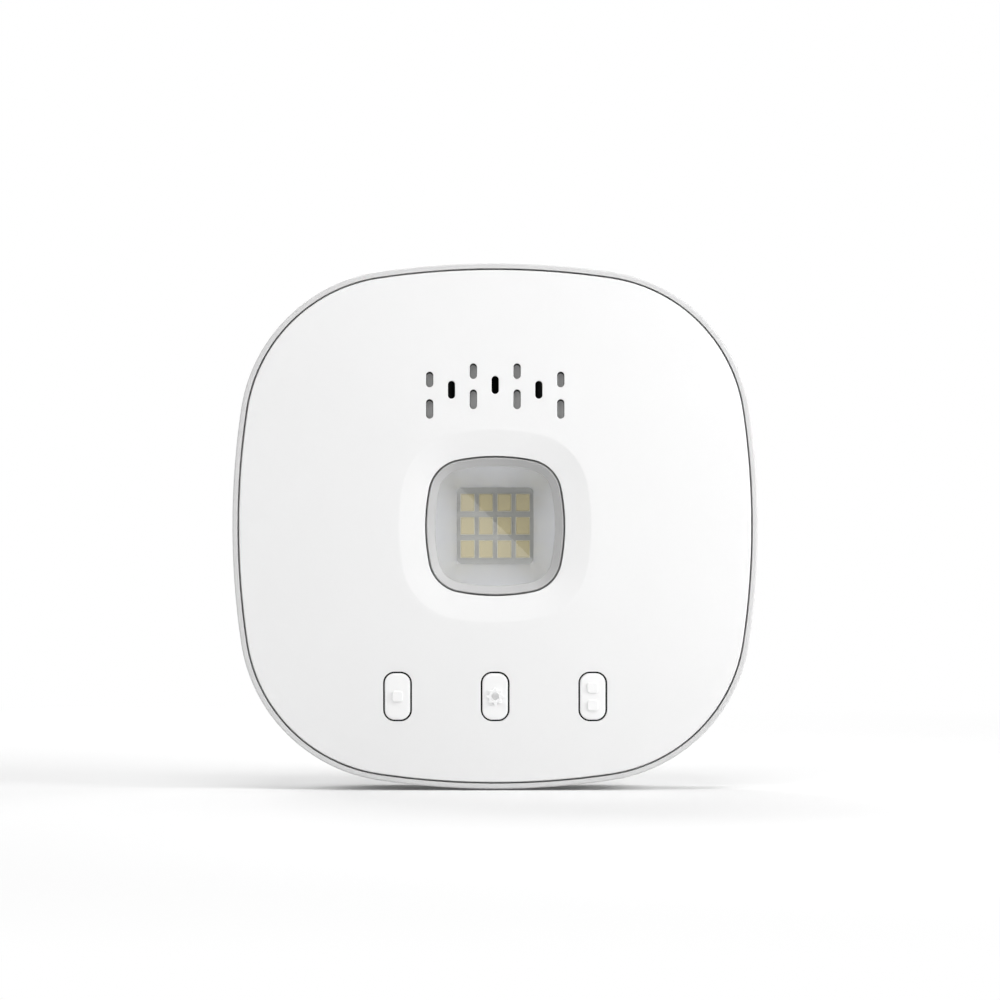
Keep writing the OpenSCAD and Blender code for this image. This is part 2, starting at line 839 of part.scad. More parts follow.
module main_board() {
  color("darkgreen") place() difference() {
    translate([0, 0, board_z]) linear_extrude(board_t) board_outline();
    at_corners(post_x, post_y)
      post(board_screw_r + board_screw_gap, [0, 0], board_z - over, board_top + over);
    led_screw_holes();
  }
}

// Place on the main board, given as shares of its half width
module on_board(x_share, y_share) {
  translate([x_share * board_half, y_share * board_half, board_top]) children();
}

module wifi_board() {
  color("darkslategray") place() on_board(wifi_x_share, wifi_y_share)
    block([wifi_w, wifi_l, wifi_t], [0, 0], 0);
}

module wifi_shield() {
  inner = shield_side - 2 * shield_t;
  color("silver") place() on_board(wifi_x_share, wifi_y_share) translate([0, -shield_drop, wifi_t])
  difference() {
    block([shield_side, shield_side, shield_h], [0, 0], 0);
    block([inner, inner, shield_h - shield_t + over], [0, 0], -over);
  }
}

// Helical antenna: one unbroken wire, its two ends bent down to the board
module antenna_coil() {
  count = coil_turns * coil_steps;
  path = concat(
    [[coil_r, 0, -coil_r - coil_wire_r], [coil_r, 0, -coil_r / 2]],
    [for (i = [0:count]) let (a = 360 * i / coil_steps)
      [coil_r * cos(a), coil_pitch * i / coil_steps, coil_r * sin(a)]]);
  color("peru") place() on_board(coil_x_share, coil_y_share)
    translate([0, -coil_turns * coil_pitch / 2, coil_r + coil_wire_r]) tube(path, coil_wire_r, coil_sides);
}

module processor() {
  color("black") place() on_board(processor_x_share, processor_y_share)
    block([processor_side, processor_side, processor_h], [0, 0], 0);
}

module memory_chip() {
  color("black") place() on_board(memory_x_share, memory_y_share)
    block([memory_w, memory_l, memory_h], [0, 0], 0);
}

module driver_chips() {
  color("black") place() for (share = driver_y_shares) on_board(driver_x_share, share)
    block([driver_w, driver_l, driver_h], [0, 0], 0);
}

module crystal() {
  color("silver") place() on_board(crystal_x_share, crystal_y_share)
    block([crystal_w, crystal_l, crystal_h], [0, 0], 0);
}

module inductor() {
  color("dimgray") place() on_board(inductor_x_share, inductor_y_share)
    prism(rect_points(inductor_side, inductor_side, inductor_corner_r), 0, inductor_h);
}

module capacitors() {
  color("slategray") place() for (share = capacitor_y_shares) on_board(capacitor_x_share, share)
    cylinder(r = capacitor_r, h = capacitor_h);
}

module small_parts() {
  color("tan") place() on_board(small_x_share, small_y_share)
    for (i = [0:small_columns - 1]) for (j = [0:small_rows - 1])
      block([small_w, small_l, small_h],
        [(i - (small_columns - 1) / 2) * small_pitch, (j - (small_rows - 1) / 2) * small_pitch], 0);
}

module power_inlet_shell() {
  color("silver") place() translate([0, inlet_mouth_y, 0]) difference() {
    block([inlet_w, inlet_depth, inlet_h], [0, inlet_depth / 2], board_z - inlet_h);
    block([inlet_w - 2 * inlet_shell_t, inlet_depth, inlet_h - 2 * inlet_shell_t],
      [0, inlet_depth / 2 - inlet_shell_t], board_z - inlet_h + inlet_shell_t);
  }
}

module power_inlet_tongue() {
  back = inlet_mouth_y + inlet_depth - inlet_shell_t;
  l = (inlet_depth - inlet_shell_t) * inlet_tongue_share;
  color("black") place() block([inlet_w * inlet_tongue_share, l, inlet_tongue_t],
    [0, back - l / 2], board_z - inlet_h / 2 - inlet_tongue_t / 2);
}

module switch_bodies() {
  color("black") place() at_buttons() difference() {
    block([switch_side, switch_side, switch_h], [0, 0], board_top);
    post(button_stem_r + plunger_gap, [0, 0], plunger_top - plunger_out - plunger_in - button_travel
      - plunger_room, plunger_top);
  }
}

module switch_plunger(column) {
  color("ivory") place() post(button_stem_r, [column * button_pitch, button_y],
    plunger_top - plunger_out - plunger_in, plunger_top);
}

module switch_plunger_left() {
  switch_plunger(-1);
}

module switch_plunger_middle() {
  switch_plunger(0);
}

module switch_plunger_right() {
  switch_plunger(1);
}

// Button head with a softened edge, its retaining flange and its stem
module button(column) {
  face_z = crown_at([column * button_pitch, button_y]);
  translate([column * button_pitch, button_y, 0]) {
    prism(rect_points(button_w, button_h, button_corner_r), flange_top_z, face_z - button_edge_r);
    loft([
      at(rect_points(button_w, button_h, button_corner_r), face_z - button_edge_r - seat_gap),
      at(rect_points(button_w, button_h, button_corner_r), face_z - button_edge_r),
      at(rect_points(button_w - button_edge_r, button_h - button_edge_r,
        button_corner_r - button_edge_r / 2), face_z - button_edge_r / 4),
      at(rect_points(button_w - 2 * button_edge_r, button_h - 2 * button_edge_r,
        button_corner_r - button_edge_r), face_z)]);
    prism(rect_points(button_w + 2 * button_rim, button_h + 2 * button_rim, button_corner_r + button_rim),
      flange_z, flange_top_z);
    post(button_stem_r, [0, 0], plunger_top, flange_z);
    translate([0, 0, face_z]) children();
  }
}

module square_icon(offset) {
  translate([0, offset, 0])
    prism(rect_points(icon_side, icon_side, icon_corner_r), -seat_gap, icon_h);
}

// Gear with tapered teeth; its hole goes down to the button's face
module gear_icon() {
  difference() {
    union() {
      translate([0, 0, -seat_gap]) cylinder(r = gear_root_r, h = icon_h + seat_gap);
      for (i = [0:gear_teeth - 1]) rotate(360 * i / gear_teeth)
        prism([[0, -gear_tooth_w / 2], [gear_root_r, -gear_tooth_w / 2], [gear_r, -gear_tip_w / 2],
          [gear_r, gear_tip_w / 2], [gear_root_r, gear_tooth_w / 2], [0, gear_tooth_w / 2]], -seat_gap, icon_h);
    }
    cylinder(r = gear_hole_r, h = icon_h + over);
  }
}

module button_left() {
  color("white") place() button(-1) square_icon(0);
}

module button_middle() {
  color("white") place() button(0) gear_icon();
}

module button_right() {
  color("white") place() button(1) for (s = [-1, 1]) square_icon(s * icon_pitch / 2);
}

module board_link() {
  color("black") place() union() {
    block([link_w, link_l, spreader_t], [link_inset - led_board_half, 0], board_top);
    link_places() post(link_pin_r, [0, 0], board_top + spreader_t / 2, led_board_z + link_stick_out);
  }
}

module case_screws() {
  color("silver") place() at_corners(boss_xy, boss_xy) translate([0, 0, screw_seat_z])
    screw(case_screw_r, screw_head_r, screw_head_h, edge_z - cover_boss_floor - screw_tip_gap - screw_seat_z);
}

module board_screws() {
  color("silver") place() at_corners(post_x, post_y) translate([0, 0, board_top]) mirror([0, 0, 1])
    screw(board_screw_r, board_screw_head_r, board_screw_head_h, board_t + board_screw_depth - over);
}

// Plate for the wall: a foot, two rails, two countersunk holes and a springy latch
module wall_bracket() {
  foot_w = bracket_w - 2 * rail_reach;
  slit_y = bracket_bottom + latch_l;
  color("lightgray") place() difference() {
    union() {
      translate([0, bracket_rise, 0]) {
        prism(rect_points(foot_w, bracket_h, bracket_corner_r), 0, bracket_t);
        prism(rect_points(bracket_w, bracket_h, bracket_corner_r), foot_t, bracket_t);
      }
      block([latch_w - 2 * latch_slit, latch_bump_l, latch_bump_h + over],
        [0, bracket_bottom + latch_bump_l], bracket_t - over);
    }
    for (s = [-1, 1]) translate([s * wall_screw_pitch / 2, bracket_rise + wall_screw_drop, 0]) {
      post(wall_screw_r, [0, 0], -over, bracket_t + over);
      translate([0, 0, bracket_t - countersink_h])
        cylinder(r1 = wall_screw_r, r2 = wall_screw_r + countersink_w, h = countersink_h);
      post(wall_screw_r + countersink_w, [0, 0], bracket_t, bracket_t + over);
    }
    for (s = [-1, 1]) block([latch_slit, latch_l + over, bracket_t + 2 * over],
      [s * (latch_w / 2 + latch_slit / 2), slit_y - (latch_l + over) / 2], -over);
    block([latch_w + 2 * latch_slit, latch_l + over, foot_t / 2 + over],
      [0, slit_y - (latch_l + over) / 2], -over);
  }
}

front_cover();
rear_housing();
lens_bezel();
lens_window();
reflector();
led_board();
led_packages();
led_phosphors();
heat_spreader();
led_board_screws();
sounder_frame();
sounder_cone();
sounder_magnet();
sounder_gasket();
sounder_wire_red();
sounder_wire_black();
sounder_plug();
sounder_socket();
main_board();
wifi_board();
wifi_shield();
antenna_coil();
processor();
memory_chip();
driver_chips();
crystal();
inductor();
capacitors();
small_parts();
power_inlet_shell();
power_inlet_tongue();
switch_bodies();
switch_plunger_left();
switch_plunger_middle();
switch_plunger_right();
button_left();
button_middle();
button_right();
board_link();
case_screws();
board_screws();
wall_bracket();
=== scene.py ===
"""Square wall hub that opens a garage door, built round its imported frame.

Pieces are drawn in millimetres as seen from the front: x to the right, y up and
z out of the wall. Skin.solid() stands them up in the frame's metres.
"""

from __future__ import annotations

import abc
import enum
import logging
import math
from collections.abc import Callable, Sequence
from dataclasses import dataclass, replace

import bmesh
import bpy
import numpy as np
from mathutils import Matrix, Vector
from mathutils.geometry import delaunay_2d_cdt


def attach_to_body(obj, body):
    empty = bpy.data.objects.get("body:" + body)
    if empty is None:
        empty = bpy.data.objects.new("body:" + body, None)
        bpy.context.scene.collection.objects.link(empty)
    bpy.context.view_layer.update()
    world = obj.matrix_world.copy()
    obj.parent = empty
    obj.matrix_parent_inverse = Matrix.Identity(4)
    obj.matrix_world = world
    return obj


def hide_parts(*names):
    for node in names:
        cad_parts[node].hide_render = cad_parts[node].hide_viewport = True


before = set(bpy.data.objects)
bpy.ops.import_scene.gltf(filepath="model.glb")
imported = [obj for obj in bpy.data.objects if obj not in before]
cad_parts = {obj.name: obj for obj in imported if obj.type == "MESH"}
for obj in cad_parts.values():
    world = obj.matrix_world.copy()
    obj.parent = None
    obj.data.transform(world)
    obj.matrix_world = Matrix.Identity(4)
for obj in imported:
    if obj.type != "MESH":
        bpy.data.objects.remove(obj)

log = logging.getLogger("hub")
MM = 0.001
QUARTER = math.pi / 2

Height = Callable[[np.ndarray], np.ndarray]
Point = tuple[float, float]
Triple = tuple[float, float, float]
# For each ring of a wall, how far its outline is grown and its height
Stations = Sequence[Point]
Ring = list[int]
Piece = bpy.types.Object
Tree = bpy.types.NodeTree
Socket = bpy.types.NodeSocket


class Stand(enum.Enum):
    """How a drawn piece is turned into the frame."""

    WALL = "z comes out of the wall"
    FLOOR = "as drawn, z goes up"


# Outlines


class Outline(abc.ABC):
    """Closed line that runs anticlockwise, in millimetres."""

    @abc.abstractmethod
    def grown(self, by: float) -> Outline:
        """Returns the line at a distance outside this one."""

    @abc.abstractmethod
    def points(self) -> np.ndarray:
        """Returns the line's points, one row each."""


def arc(centre: Point, radius: float, start: float, end: float, steps: int) -> list[Point]:
    """Makes the points of an arc, without its last one.

    Args:
        centre: Middle of the arc.
        radius: Radius of the arc.
        start: Angle of the first point, in radians.
        end: Angle at which the arc stops.
        steps: Number of points.

    Returns:
        The points in order.
    """
    angles = [start + (end - start) * i / steps for i in range(steps)]
    return [(centre[0] + radius * math.cos(a), centre[1] + radius * math.sin(a)) for a in angles]


def soften(corners: Sequence[Triple], steps: int, closed: bool = False) -> list[Point]:
    """Rounds the corners of a line.

    Args:
        corners: Each corner's two coordinates and the radius that it gets.
        steps: Number of faces across one rounded corner.
        closed: Whether the last corner joins the first.

    Returns:
        The points of the softened line.
    """
    points: list[Point] = []
    for i, (x, y, radius) in enumerate(corners):
        if radius <= 0 or (not closed and i in (0, len(corners) - 1)):
            points.append((x, y))
            continue
        corner = Vector((x, y))
        back = (Vector(corners[i - 1][:2]) - corner).normalized()
        ahead = (Vector(corners[(i + 1) % len(corners)][:2]) - corner).normalized()
        half = back.angle(ahead) / 2
        centre = corner + (back + ahead).normalized() * (radius / math.sin(half))
        first = corner + back * (radius / math.tan(half)) - centre
        final = corner + ahead * (radius / math.tan(half)) - centre
        turn = math.atan2(first.cross(final), first.dot(final))
        points += [tuple(centre + Matrix.Rotation(turn * k / steps, 2) @ first) for k in range(steps + 1)]
    return points


@dataclass(frozen=True)
class SoftSquare(Outline):
    """Square whose sides are long arcs, tangent to its round corners."""

    half: float
    side_r: float
    corner_r: float
    side_steps: int = 8
    corner_steps: int = 24

    def grown(self, by: float) -> SoftSquare:
        """Returns the line at a distance outside this one."""
        return replace(self, half=self.half + by, side_r=self.side_r + by, corner_r=self.corner_r + by)

    def at_half(self, half: float) -> SoftSquare:
        """Returns the line of the same family with this half width."""
        return self.grown(half - self.half)

    def corner(self) -> Triple:
        """Returns the side's overhang, the corner's middle and the angle at which they meet."""
        lean = self.side_r - self.half
        d = self.side_r - self.corner_r
        c = (math.sqrt(2 * d * d - lean * lean) - lean) / 2
        return lean, c, math.atan2(c, c + lean)

    def points(self) -> np.ndarray:
        """Returns the line's points, one row each."""
        lean, c, meet = self.corner()
        quarter = arc((-lean, 0), self.side_r, 0, meet, self.side_steps)
        quarter += arc((c, c), self.corner_r, meet, QUARTER - meet, self.corner_steps)
        quarter += arc((0, -lean), self.side_r, QUARTER - meet, QUARTER, self.side_steps)
        turns = [(math.cos(k * QUARTER), math.sin(k * QUARTER)) for k in range(4)]
        return np.concatenate([np.array(quarter) @ np.array([[c, s], [-s, c]]) for c, s in turns])

    def reach(self, xy: np.ndarray) -> np.ndarray:
        """Gives how far out the line runs in the direction of each point.

        Args:
            xy: Points, one row each.

        Returns:
            The distances from the middle.
        """
        lean, c, meet = self.corner()
        size = np.maximum(np.hypot(*xy.T), 1e-6)
        u, v = np.abs(xy).max(1) / size, np.abs(xy).min(1) / size
        on_side = v * (self.side_r * math.cos(meet) - lean) < u * self.side_r * math.sin(meet)
        side = np.sqrt(self.side_r**2 - (lean * v) ** 2) - lean * u
        corner = c * (u + v) + np.sqrt(self.corner_r**2 - (c * (u - v)) ** 2)
        return np.where(on_side, side, corner)


@dataclass(frozen=True)
class RoundRect(Outline):
    """Rectangle with round corners."""

    width: float
    height: float
    radius: float
    centre: Point = (0.0, 0.0)
    corner_steps: int = 12
    across_steps: int = 3
    along_steps: int = 4

    def grown(self, by: float) -> RoundRect:
        """Returns the line at a distance outside this one."""
        width, height, radius = self.width + 2 * by, self.height + 2 * by, max(self.radius + by, 0.02)
        return replace(self, width=width, height=height, radius=radius)

    def points(self) -> np.ndarray:
        """Returns the line's points, one row each."""
        x, y = self.width / 2 - self.radius, self.height / 2 - self.radius
        middles = [(x, y), (-x, y), (-x, -y), (x, -y)]
        found: list[Point] = []
        for q, middle in enumerate(middles):
            found += arc(middle, self.radius, q * QUARTER, (q + 1) * QUARTER, self.corner_steps)
            end = middle + self.radius * np.array([math.cos((q + 1) * QUARTER), math.sin((q + 1) * QUARTER)])
            far = middles[(q + 1) % 4] + end - middle
            steps = self.along_steps if q % 2 else self.across_steps
            found += [tuple(end + (far - end) * k / steps) for k in range(steps)]
        return np.array(found) + self.centre


@dataclass(frozen=True)
class Circle(Outline):
    """Circle."""

    radius: float
    centre: Point = (0.0, 0.0)
    steps: int = 48

    def grown(self, by: float) -> Circle:
        """Returns the line at a distance outside this one."""
        return replace(self, radius=self.radius + by)

    def points(self) -> np.ndarray:
        """Returns the line's points, one row each."""
        return np.array(arc(self.centre, self.radius, 0, 2 * math.pi, self.steps))


@dataclass(frozen=True)
class Traced(Outline):
    """Outline through given points."""

    corners: tuple[Point, ...]

    def grown(self, by: float) -> Traced:
        """Returns the line at a distance outside this one, mitred at its corners."""
        p = np.array(self.corners)
        edge = np.roll(p, -1, axis=0) - p
        edge /= np.linalg.norm(edge, axis=1)[:, None]
        out = np.stack([edge[:, 1], -edge[:, 0]], axis=1)
        both = out + np.roll(out, 1, axis=0)
        both /= (both * out).sum(1)[:, None]
        return Traced(tuple(map(tuple, p + by * both)))

    def points(self) -> np.ndarray:
        """Returns the line's points, one row each."""
        return np.array(self.corners)


@dataclass(frozen=True)
class Crown:
    """Gently domed surface over a soft square."""

    outline: SoftSquare
    apex: float
    rise: float

    def height(self, xy: np.ndarray) -> np.ndarray:
        """Gives the surface's height over each point."""
        share = np.hypot(*xy.T) / self.outline.reach(xy)
        return self.apex - self.rise * share**2

    def lowered(self, by: float) -> Crown:
        """Returns the surface that lies this far below."""
        return replace(self, apex=self.apex - by)


# Skins


def inside(xy: np.ndarray, loop: np.ndarray) -> np.ndarray:
    """Tells which points lie inside a closed line.

    Args:
        xy: Points to test, one row each.
        loop: Points of the closed line.

    Returns:
        True for each point inside.
    """
    x, y = xy[:, 0, None], xy[:, 1, None]
    (ax, ay), (bx, by) = loop.T, np.roll(loop, -1, axis=0).T
    crosses = (ay > y) != (by > y)
    rise = np.where(by == ay, 1, by - ay)
    return (crosses & (x < (bx - ax) * (y - ay) / rise + ax)).sum(1) % 2 == 1


def gap_to(xy: np.ndarray, loop: np.ndarray) -> np.ndarray:
    """Gives each point's distance from a closed line.

    Args:
        xy: Points to measure from, one row each.
        loop: Points of the closed line.

    Returns:
        The distances.
    """
    edge = np.roll(loop, -1, axis=0) - loop
    away = xy[:, None] - loop
    share = np.clip((away * edge).sum(2) / (edge**2).sum(1), 0, 1)
    return np.linalg.norm(away - share[:, :, None] * edge, axis=2).min(1)


def placed(name: str, data: bpy.types.ID) -> Piece:
    """Makes an object of this data and puts it in the scene."""
    made = bpy.data.objects.new(name, data)
    bpy.context.scene.collection.objects.link(made)
    return made


class Skin:
    """Closed skin in the making.

    A wall is walked from the front sheet or an inner edge to the back sheet, or
    outwards from the back to the front, so that every face looks out.
    """

    def __init__(self) -> None:
        """Starts with nothing."""
        self.points: list[Triple] = []
        self.faces: list[tuple[int, ...]] = []
        self.coats: list[tuple[int, int]] = []
        # The ring that the last walk began with
        self.first: Ring = []

    def coat(self, number: int) -> None:
        """Gives the faces made from here on this finish, by number."""
        self.coats.append((len(self.faces), number))

    def ring(self, xy: np.ndarray, z: np.ndarray | float) -> Ring:
        """Adds a ring of points and returns their numbers."""
        start = len(self.points)
        self.points += [(float(p[0]), float(p[1]), float(h)) for p, h in zip(xy, np.broadcast_to(z, len(xy)))]
        return list(range(start, len(self.points)))

    def bridge(self, first: Ring, second: Ring) -> None:
        """Joins two rings of equal count with a band of faces."""
        n = len(first)
        self.faces += [(first[i], first[(i + 1) % n], second[(i + 1) % n], second[i]) for i in range(n)]

    def cap(self, ring: Ring, up: bool) -> None:
        """Closes a ring with one flat face that looks up or down."""
        self.faces.append(tuple(ring if up else reversed(ring)))

    def walk(
        self, outline: Outline, stations: Stations, start: Ring | None = None, over: Height | None = None
    ) -> Ring:
        """Walks a wall along stations.

        Args:
            outline: Line that the stations grow from.
            stations: For each ring, how far the outline is grown and its height.
            start: Ring that the first station joins, if any.
            over: Surface that the heights count from, or None for the wall's plane.

        Returns:
            The last ring.
        """
        last = start
        for k, (grow, z) in enumerate(stations):
            xy = outline.grown(grow).points()
            here = self.ring(xy, z if over is None else over(xy) + z)
            if k == 0:
                self.first = here
            if last is not None:
                self.bridge(last, here)
            last = here
        return last

    def sheet(
        self, outer: Ring, holes: Sequence[Ring], up: bool, spacing: float = 0.0, height: Height | None = None
    ) -> None:
        """Fills the area inside one ring and outside others.

        Args:
            outer: Ring round the area.
            holes: Rings that the area goes round.
            up: Whether the faces look up.
            spacing: Distance between the points inside, or 0 for none.
            height: Surface that the points inside lie on.
        """
        loops = [outer, *holes]
        ids = [i for loop in loops for i in loop]
        if spacing:
            flats = [np.array([self.points[i][:2] for i in loop]) for loop in loops]
            ids += self.scatter(flats, spacing, height)
        edges: list[tuple[int, int]] = []
        for loop in loops:
            start, n = len(edges), len(loop)
            edges += [(start + i, start + (i + 1) % n) for i in range(n)]
        xy = [Vector(self.points[i][:2]) for i in ids]
        _, _, found, origin, _, _ = delaunay_2d_cdt(xy, edges, [], 0, 1e-6, True)
        faces = [[origin[v][0] for v in face] for face in found]
        # The area lies on the left of its outer ring and on the right of its holes
        walls = {edge if k < len(outer) else edge[::-1] for k, edge in enumerate(edges)}
        beside = {(f[k], f[(k + 1) % 3]): n for n, f in enumerate(faces) for k in range(3)}
        waiting = [beside[edge] for edge in walls]
        kept: set[int] = set()
        while waiting:
            n = waiting.pop()
            if n in kept:
                continue
            kept.add(n)
            f = faces[n]
            self.faces.append(tuple(ids[i] for i in (f if up else reversed(f))))
            sides = [(f[k], f[(k + 1) % 3]) for k in range(3)]
            waiting += [beside[edge[::-1]] for edge in sides if edge not in walls]

    def scatter(self, flats: Sequence[np.ndarray], spacing: float, height: Height) -> Ring:
        """Adds evenly spaced points inside an area, clear of its edges.

        Args:
            flats: Points of the line round the area, and of the line round each hole.
            spacing: Distance between the points.
            height: Surface that the points lie on.

        Returns:
            The points' numbers.
        """
        low, high = flats[0].min(0), flats[0].max(0)
        rows = enumerate(np.arange(low[1], high[1], spacing * math.sqrt(3) / 2))
        columns = np.arange(low[0], high[0], spacing)
        xy = np.array([(x + (k % 2) * spacing / 2, y) for k, y in rows for x in columns])
        keep = inside(xy, flats[0])
        for flat in flats:
            keep &= gap_to(xy, flat) > spacing * 0.5
        for flat in flats[1:]:
            keep &= ~inside(xy, flat)
        return self.ring(xy[keep], height(xy[keep]))

    def solid(self, name: str, stand: Stand = Stand.WALL) -> Piece:
        """Makes the skin an object.

        Args:
            name: Name of the piece.
            stand: How the piece is turned into the frame.

        Returns:
            The new object, at the origin, with smooth faces.
        """
        points = np.array(self.points) * MM
        if stand is Stand.WALL:
            points = np.stack([points[:, 0], -points[:, 2], points[:, 1]], axis=1)
        mesh = bpy.data.meshes.new(name)
        mesh.from_pydata(points.tolist(), [], self.faces)
        coats = np.zeros(len(self.faces), dtype=np.int32)
        for first, number in self.coats:
            coats[first:] = number
        mesh.polygons.foreach_set("material_index", coats)
        mesh.shade_smooth()
        mesh.update()
        loose = open_edges(mesh)
        if loose:
            log.warning("%s has %d open edges", name, loose)
        return placed(name, mesh)


def block(name: str, *walls: tuple[Outline, Stations], stand: Stand = Stand.WALL) -> Piece:
    """Makes a solid from walls that are walked one after another, with a flat face at each end.

    Args:
        name: Name of the piece.
        *walls: Each wall's outline and its stations.
        stand: How the piece is turned into the frame.

    Returns:
        The new object.
    """
    skin = Skin()
    skin.cap(list(range(len(walls[0][0].points()))), up=False)
    end: Ring | None = None
    for outline, stations in walls:
        end = skin.walk(outline, stations, end)
    skin.cap(end, up=True)
    return skin.solid(name, stand)


def hoop(name: str, rings: Sequence[tuple[np.ndarray, float]]) -> Piece:
    """Makes a solid with a hole from rings joined in order, the last one to the first.

    Args:
        name: Name of the piece.
        rings: Each ring's points and its height.

    Returns:
        The new object.
    """
    skin = Skin()
    made = [skin.ring(xy, z) for xy, z in rings]
    for first, second in zip(made, made[1:] + made[:1]):
        skin.bridge(first, second)
    return skin.solid(name)


def open_edges(mesh: bpy.types.Mesh) -> int:
    """Counts the edges of a mesh that don't join exactly two faces.

    Args:
        mesh: Mesh to look at.

    Returns:
        Their number.
    """
    uses: dict[tuple[int, int], int] = {}
    for polygon in mesh.polygons:
        for key in polygon.edge_keys:
            uses[key] = uses.get(key, 0) + 1
    return sum(count != 2 for count in uses.values())


def baked(piece: Piece) -> Piece:
    """Turns a piece's modifiers into its plain mesh.

    Args:
        piece: Piece with modifiers.

    Returns:
        The same piece.
    """
    graph = bpy.context.evaluated_depsgraph_get()
    graph.update()
    mesh = bpy.data.meshes.new_from_object(piece.evaluated_get(graph))
    mesh.name = piece.name
    finishes = [finish for finish in mesh.materials if finish]
    mesh.materials.clear()
    for finish in finishes:
        mesh.materials.append(finish)
    piece.modifiers.clear()
    piece.data = mesh
    return piece


def carve(piece: Piece, tool: Piece, operation: str = "DIFFERENCE") -> None:
    """Cuts a tool's shape out of a piece, or joins it on, and throws the tool away.

    Args:
        piece: Piece that is changed.
        tool: Closed shape.
        operation: The name of Blender's operation.
    """
    cut = piece.modifiers.new("carve", "BOOLEAN")
    cut.object, cut.operation, cut.solver = tool, operation, "EXACT"
    baked(piece)
    bpy.data.objects.remove(tool)
    # The cut leaves some points twice, a hair apart
    skin = bmesh.new()
    skin.from_mesh(piece.data)
    bmesh.ops.remove_doubles(skin, verts=skin.verts, dist=0.004 * MM)
    bmesh.ops.dissolve_degenerate(skin, dist=0.001 * MM, edges=skin.edges)
    skin.to_mesh(piece.data)
    skin.free()


def even_shading(piece: Piece, sharp_deg: float = 180.0) -> Piece:
    """Shades flat faces flat and lets only the rounded edges turn.

    Args:
        piece: Finished piece.
        sharp_deg: Angle past which an edge stays sharp.

    Returns:
        The same piece.
    """
    piece.data.shade_smooth()
    if sharp_deg < 180:
        piece.data.set_sharp_from_angle(angle=math.radians(sharp_deg))
    piece.modifiers.new("even shading", "WEIGHTED_NORMAL").keep_sharp = True
    return piece


# Finishes


def srgb(colour: str) -> tuple[float, float, float, float]:
    """Turns a hex colour into Blender's linear colour."""
    parts = [int(colour[i : i + 2], 16) / 255 for i in (1, 3, 5)]
    linear = [p / 12.92 if p <= 0.04045 else ((p + 0.055) / 1.055) ** 2.4 for p in parts]
    return (*linear, 1.0)


def add_node(tree: Tree, kind: str, inputs: dict | None = None, **settings: object) -> bpy.types.Node:
    """Adds a node with its settings and links.

    Args:
        tree: Tree that gets the node.
        kind: Blender's name of the node's type.
        inputs: For each input, by name or number, its value or the output that feeds it.
        **settings: Properties of the node itself.

    Returns:
        The new node.
    """
    node = tree.nodes.new(kind)
    for key, value in settings.items():
        setattr(node, key, value)
    for key, value in (inputs or {}).items():
        if isinstance(value, Socket):
            tree.links.new(value, node.inputs[key])
        else:
            node.inputs[key].default_value = value
    return node


def emptied(owner: bpy.types.Material | bpy.types.World) -> Tree:
    """Returns a material's or a world's node tree, with nothing in it."""
    owner.use_nodes = True
    owner.node_tree.nodes.clear()
    return owner.node_tree


@dataclass(frozen=True)
class Finish(abc.ABC):
    """Surface that pieces are dressed in."""

    name: str

    @abc.abstractmethod
    def wire(self, tree: Tree, place: Socket) -> Socket:
        """Builds the finish's nodes.

        Args:
            tree: The material's tree.
            place: The piece's own coordinates.

        Returns:
            The shader.
        """

    def material(self) -> bpy.types.Material:
        """Returns the finish as a material, made once."""
        made = bpy.data.materials.get(self.name)
        if made is None:
            made = bpy.data.materials.new(self.name)
            tree = emptied(made)
            place = add_node(tree, "ShaderNodeTexCoord").outputs["Object"]
            add_node(tree, "ShaderNodeOutputMaterial", {"Surface": self.wire(tree, place)})
        return made

    def dress(self, piece: Piece) -> Piece:
        """Gives a piece this finish all over.

        Args:
            piece: Piece to dress.

        Returns:
            The same piece.
        """
        if not piece.material_slots:
            piece.data.materials.append(self.material())
        for slot in piece.material_slots:
            slot.material = self.material()
        return piece


@dataclass(frozen=True)
class Opaque(Finish):
    """Solid surface that runs between two colours, with a grain in its shine and relief.

    Attributes:
        swing: How far the roughness swings with the grain, or None where it is even.
    """

    colour: str
    other: str
    roughness: float = 0.45
    grain_mm: float = 0.9
    relief_mm: float = 0.0
    metallic: float = 0.0
    swing: Point | None = (-0.06, 0.06)

    @abc.abstractmethod
    def patterns(self, tree: Tree, place: Socket) -> tuple[Socket, Socket]:
        """Builds the pattern of the tone and the pattern of the grain."""

    def wire(self, tree: Tree, place: Socket) -> Socket:
        """Builds the nodes that all solid surfaces share, and returns the shader."""
        drift, grain = self.patterns(tree, place)
        mixed = {0: drift, 6: srgb(self.colour), 7: srgb(self.other)}
        tone = add_node(tree, "ShaderNodeMix", mixed, data_type="RGBA").outputs[2]
        inputs = {"Base Color": tone, "Metallic": self.metallic, "Roughness": self.roughness}
        if self.swing:
            low, high = (self.roughness + by for by in self.swing)
            shine = add_node(tree, "ShaderNodeMapRange", {"Value": grain, "To Min": low, "To Max": high})
            inputs["Roughness"] = shine.outputs["Result"]
        if self.relief_mm:
            relief = {"Height": grain, "Distance": self.relief_mm * MM, "Strength": 1.0}
            inputs["Normal"] = add_node(tree, "ShaderNodeBump", relief).outputs["Normal"]
        return add_node(tree, "ShaderNodeBsdfPrincipled", inputs).outputs["BSDF"]


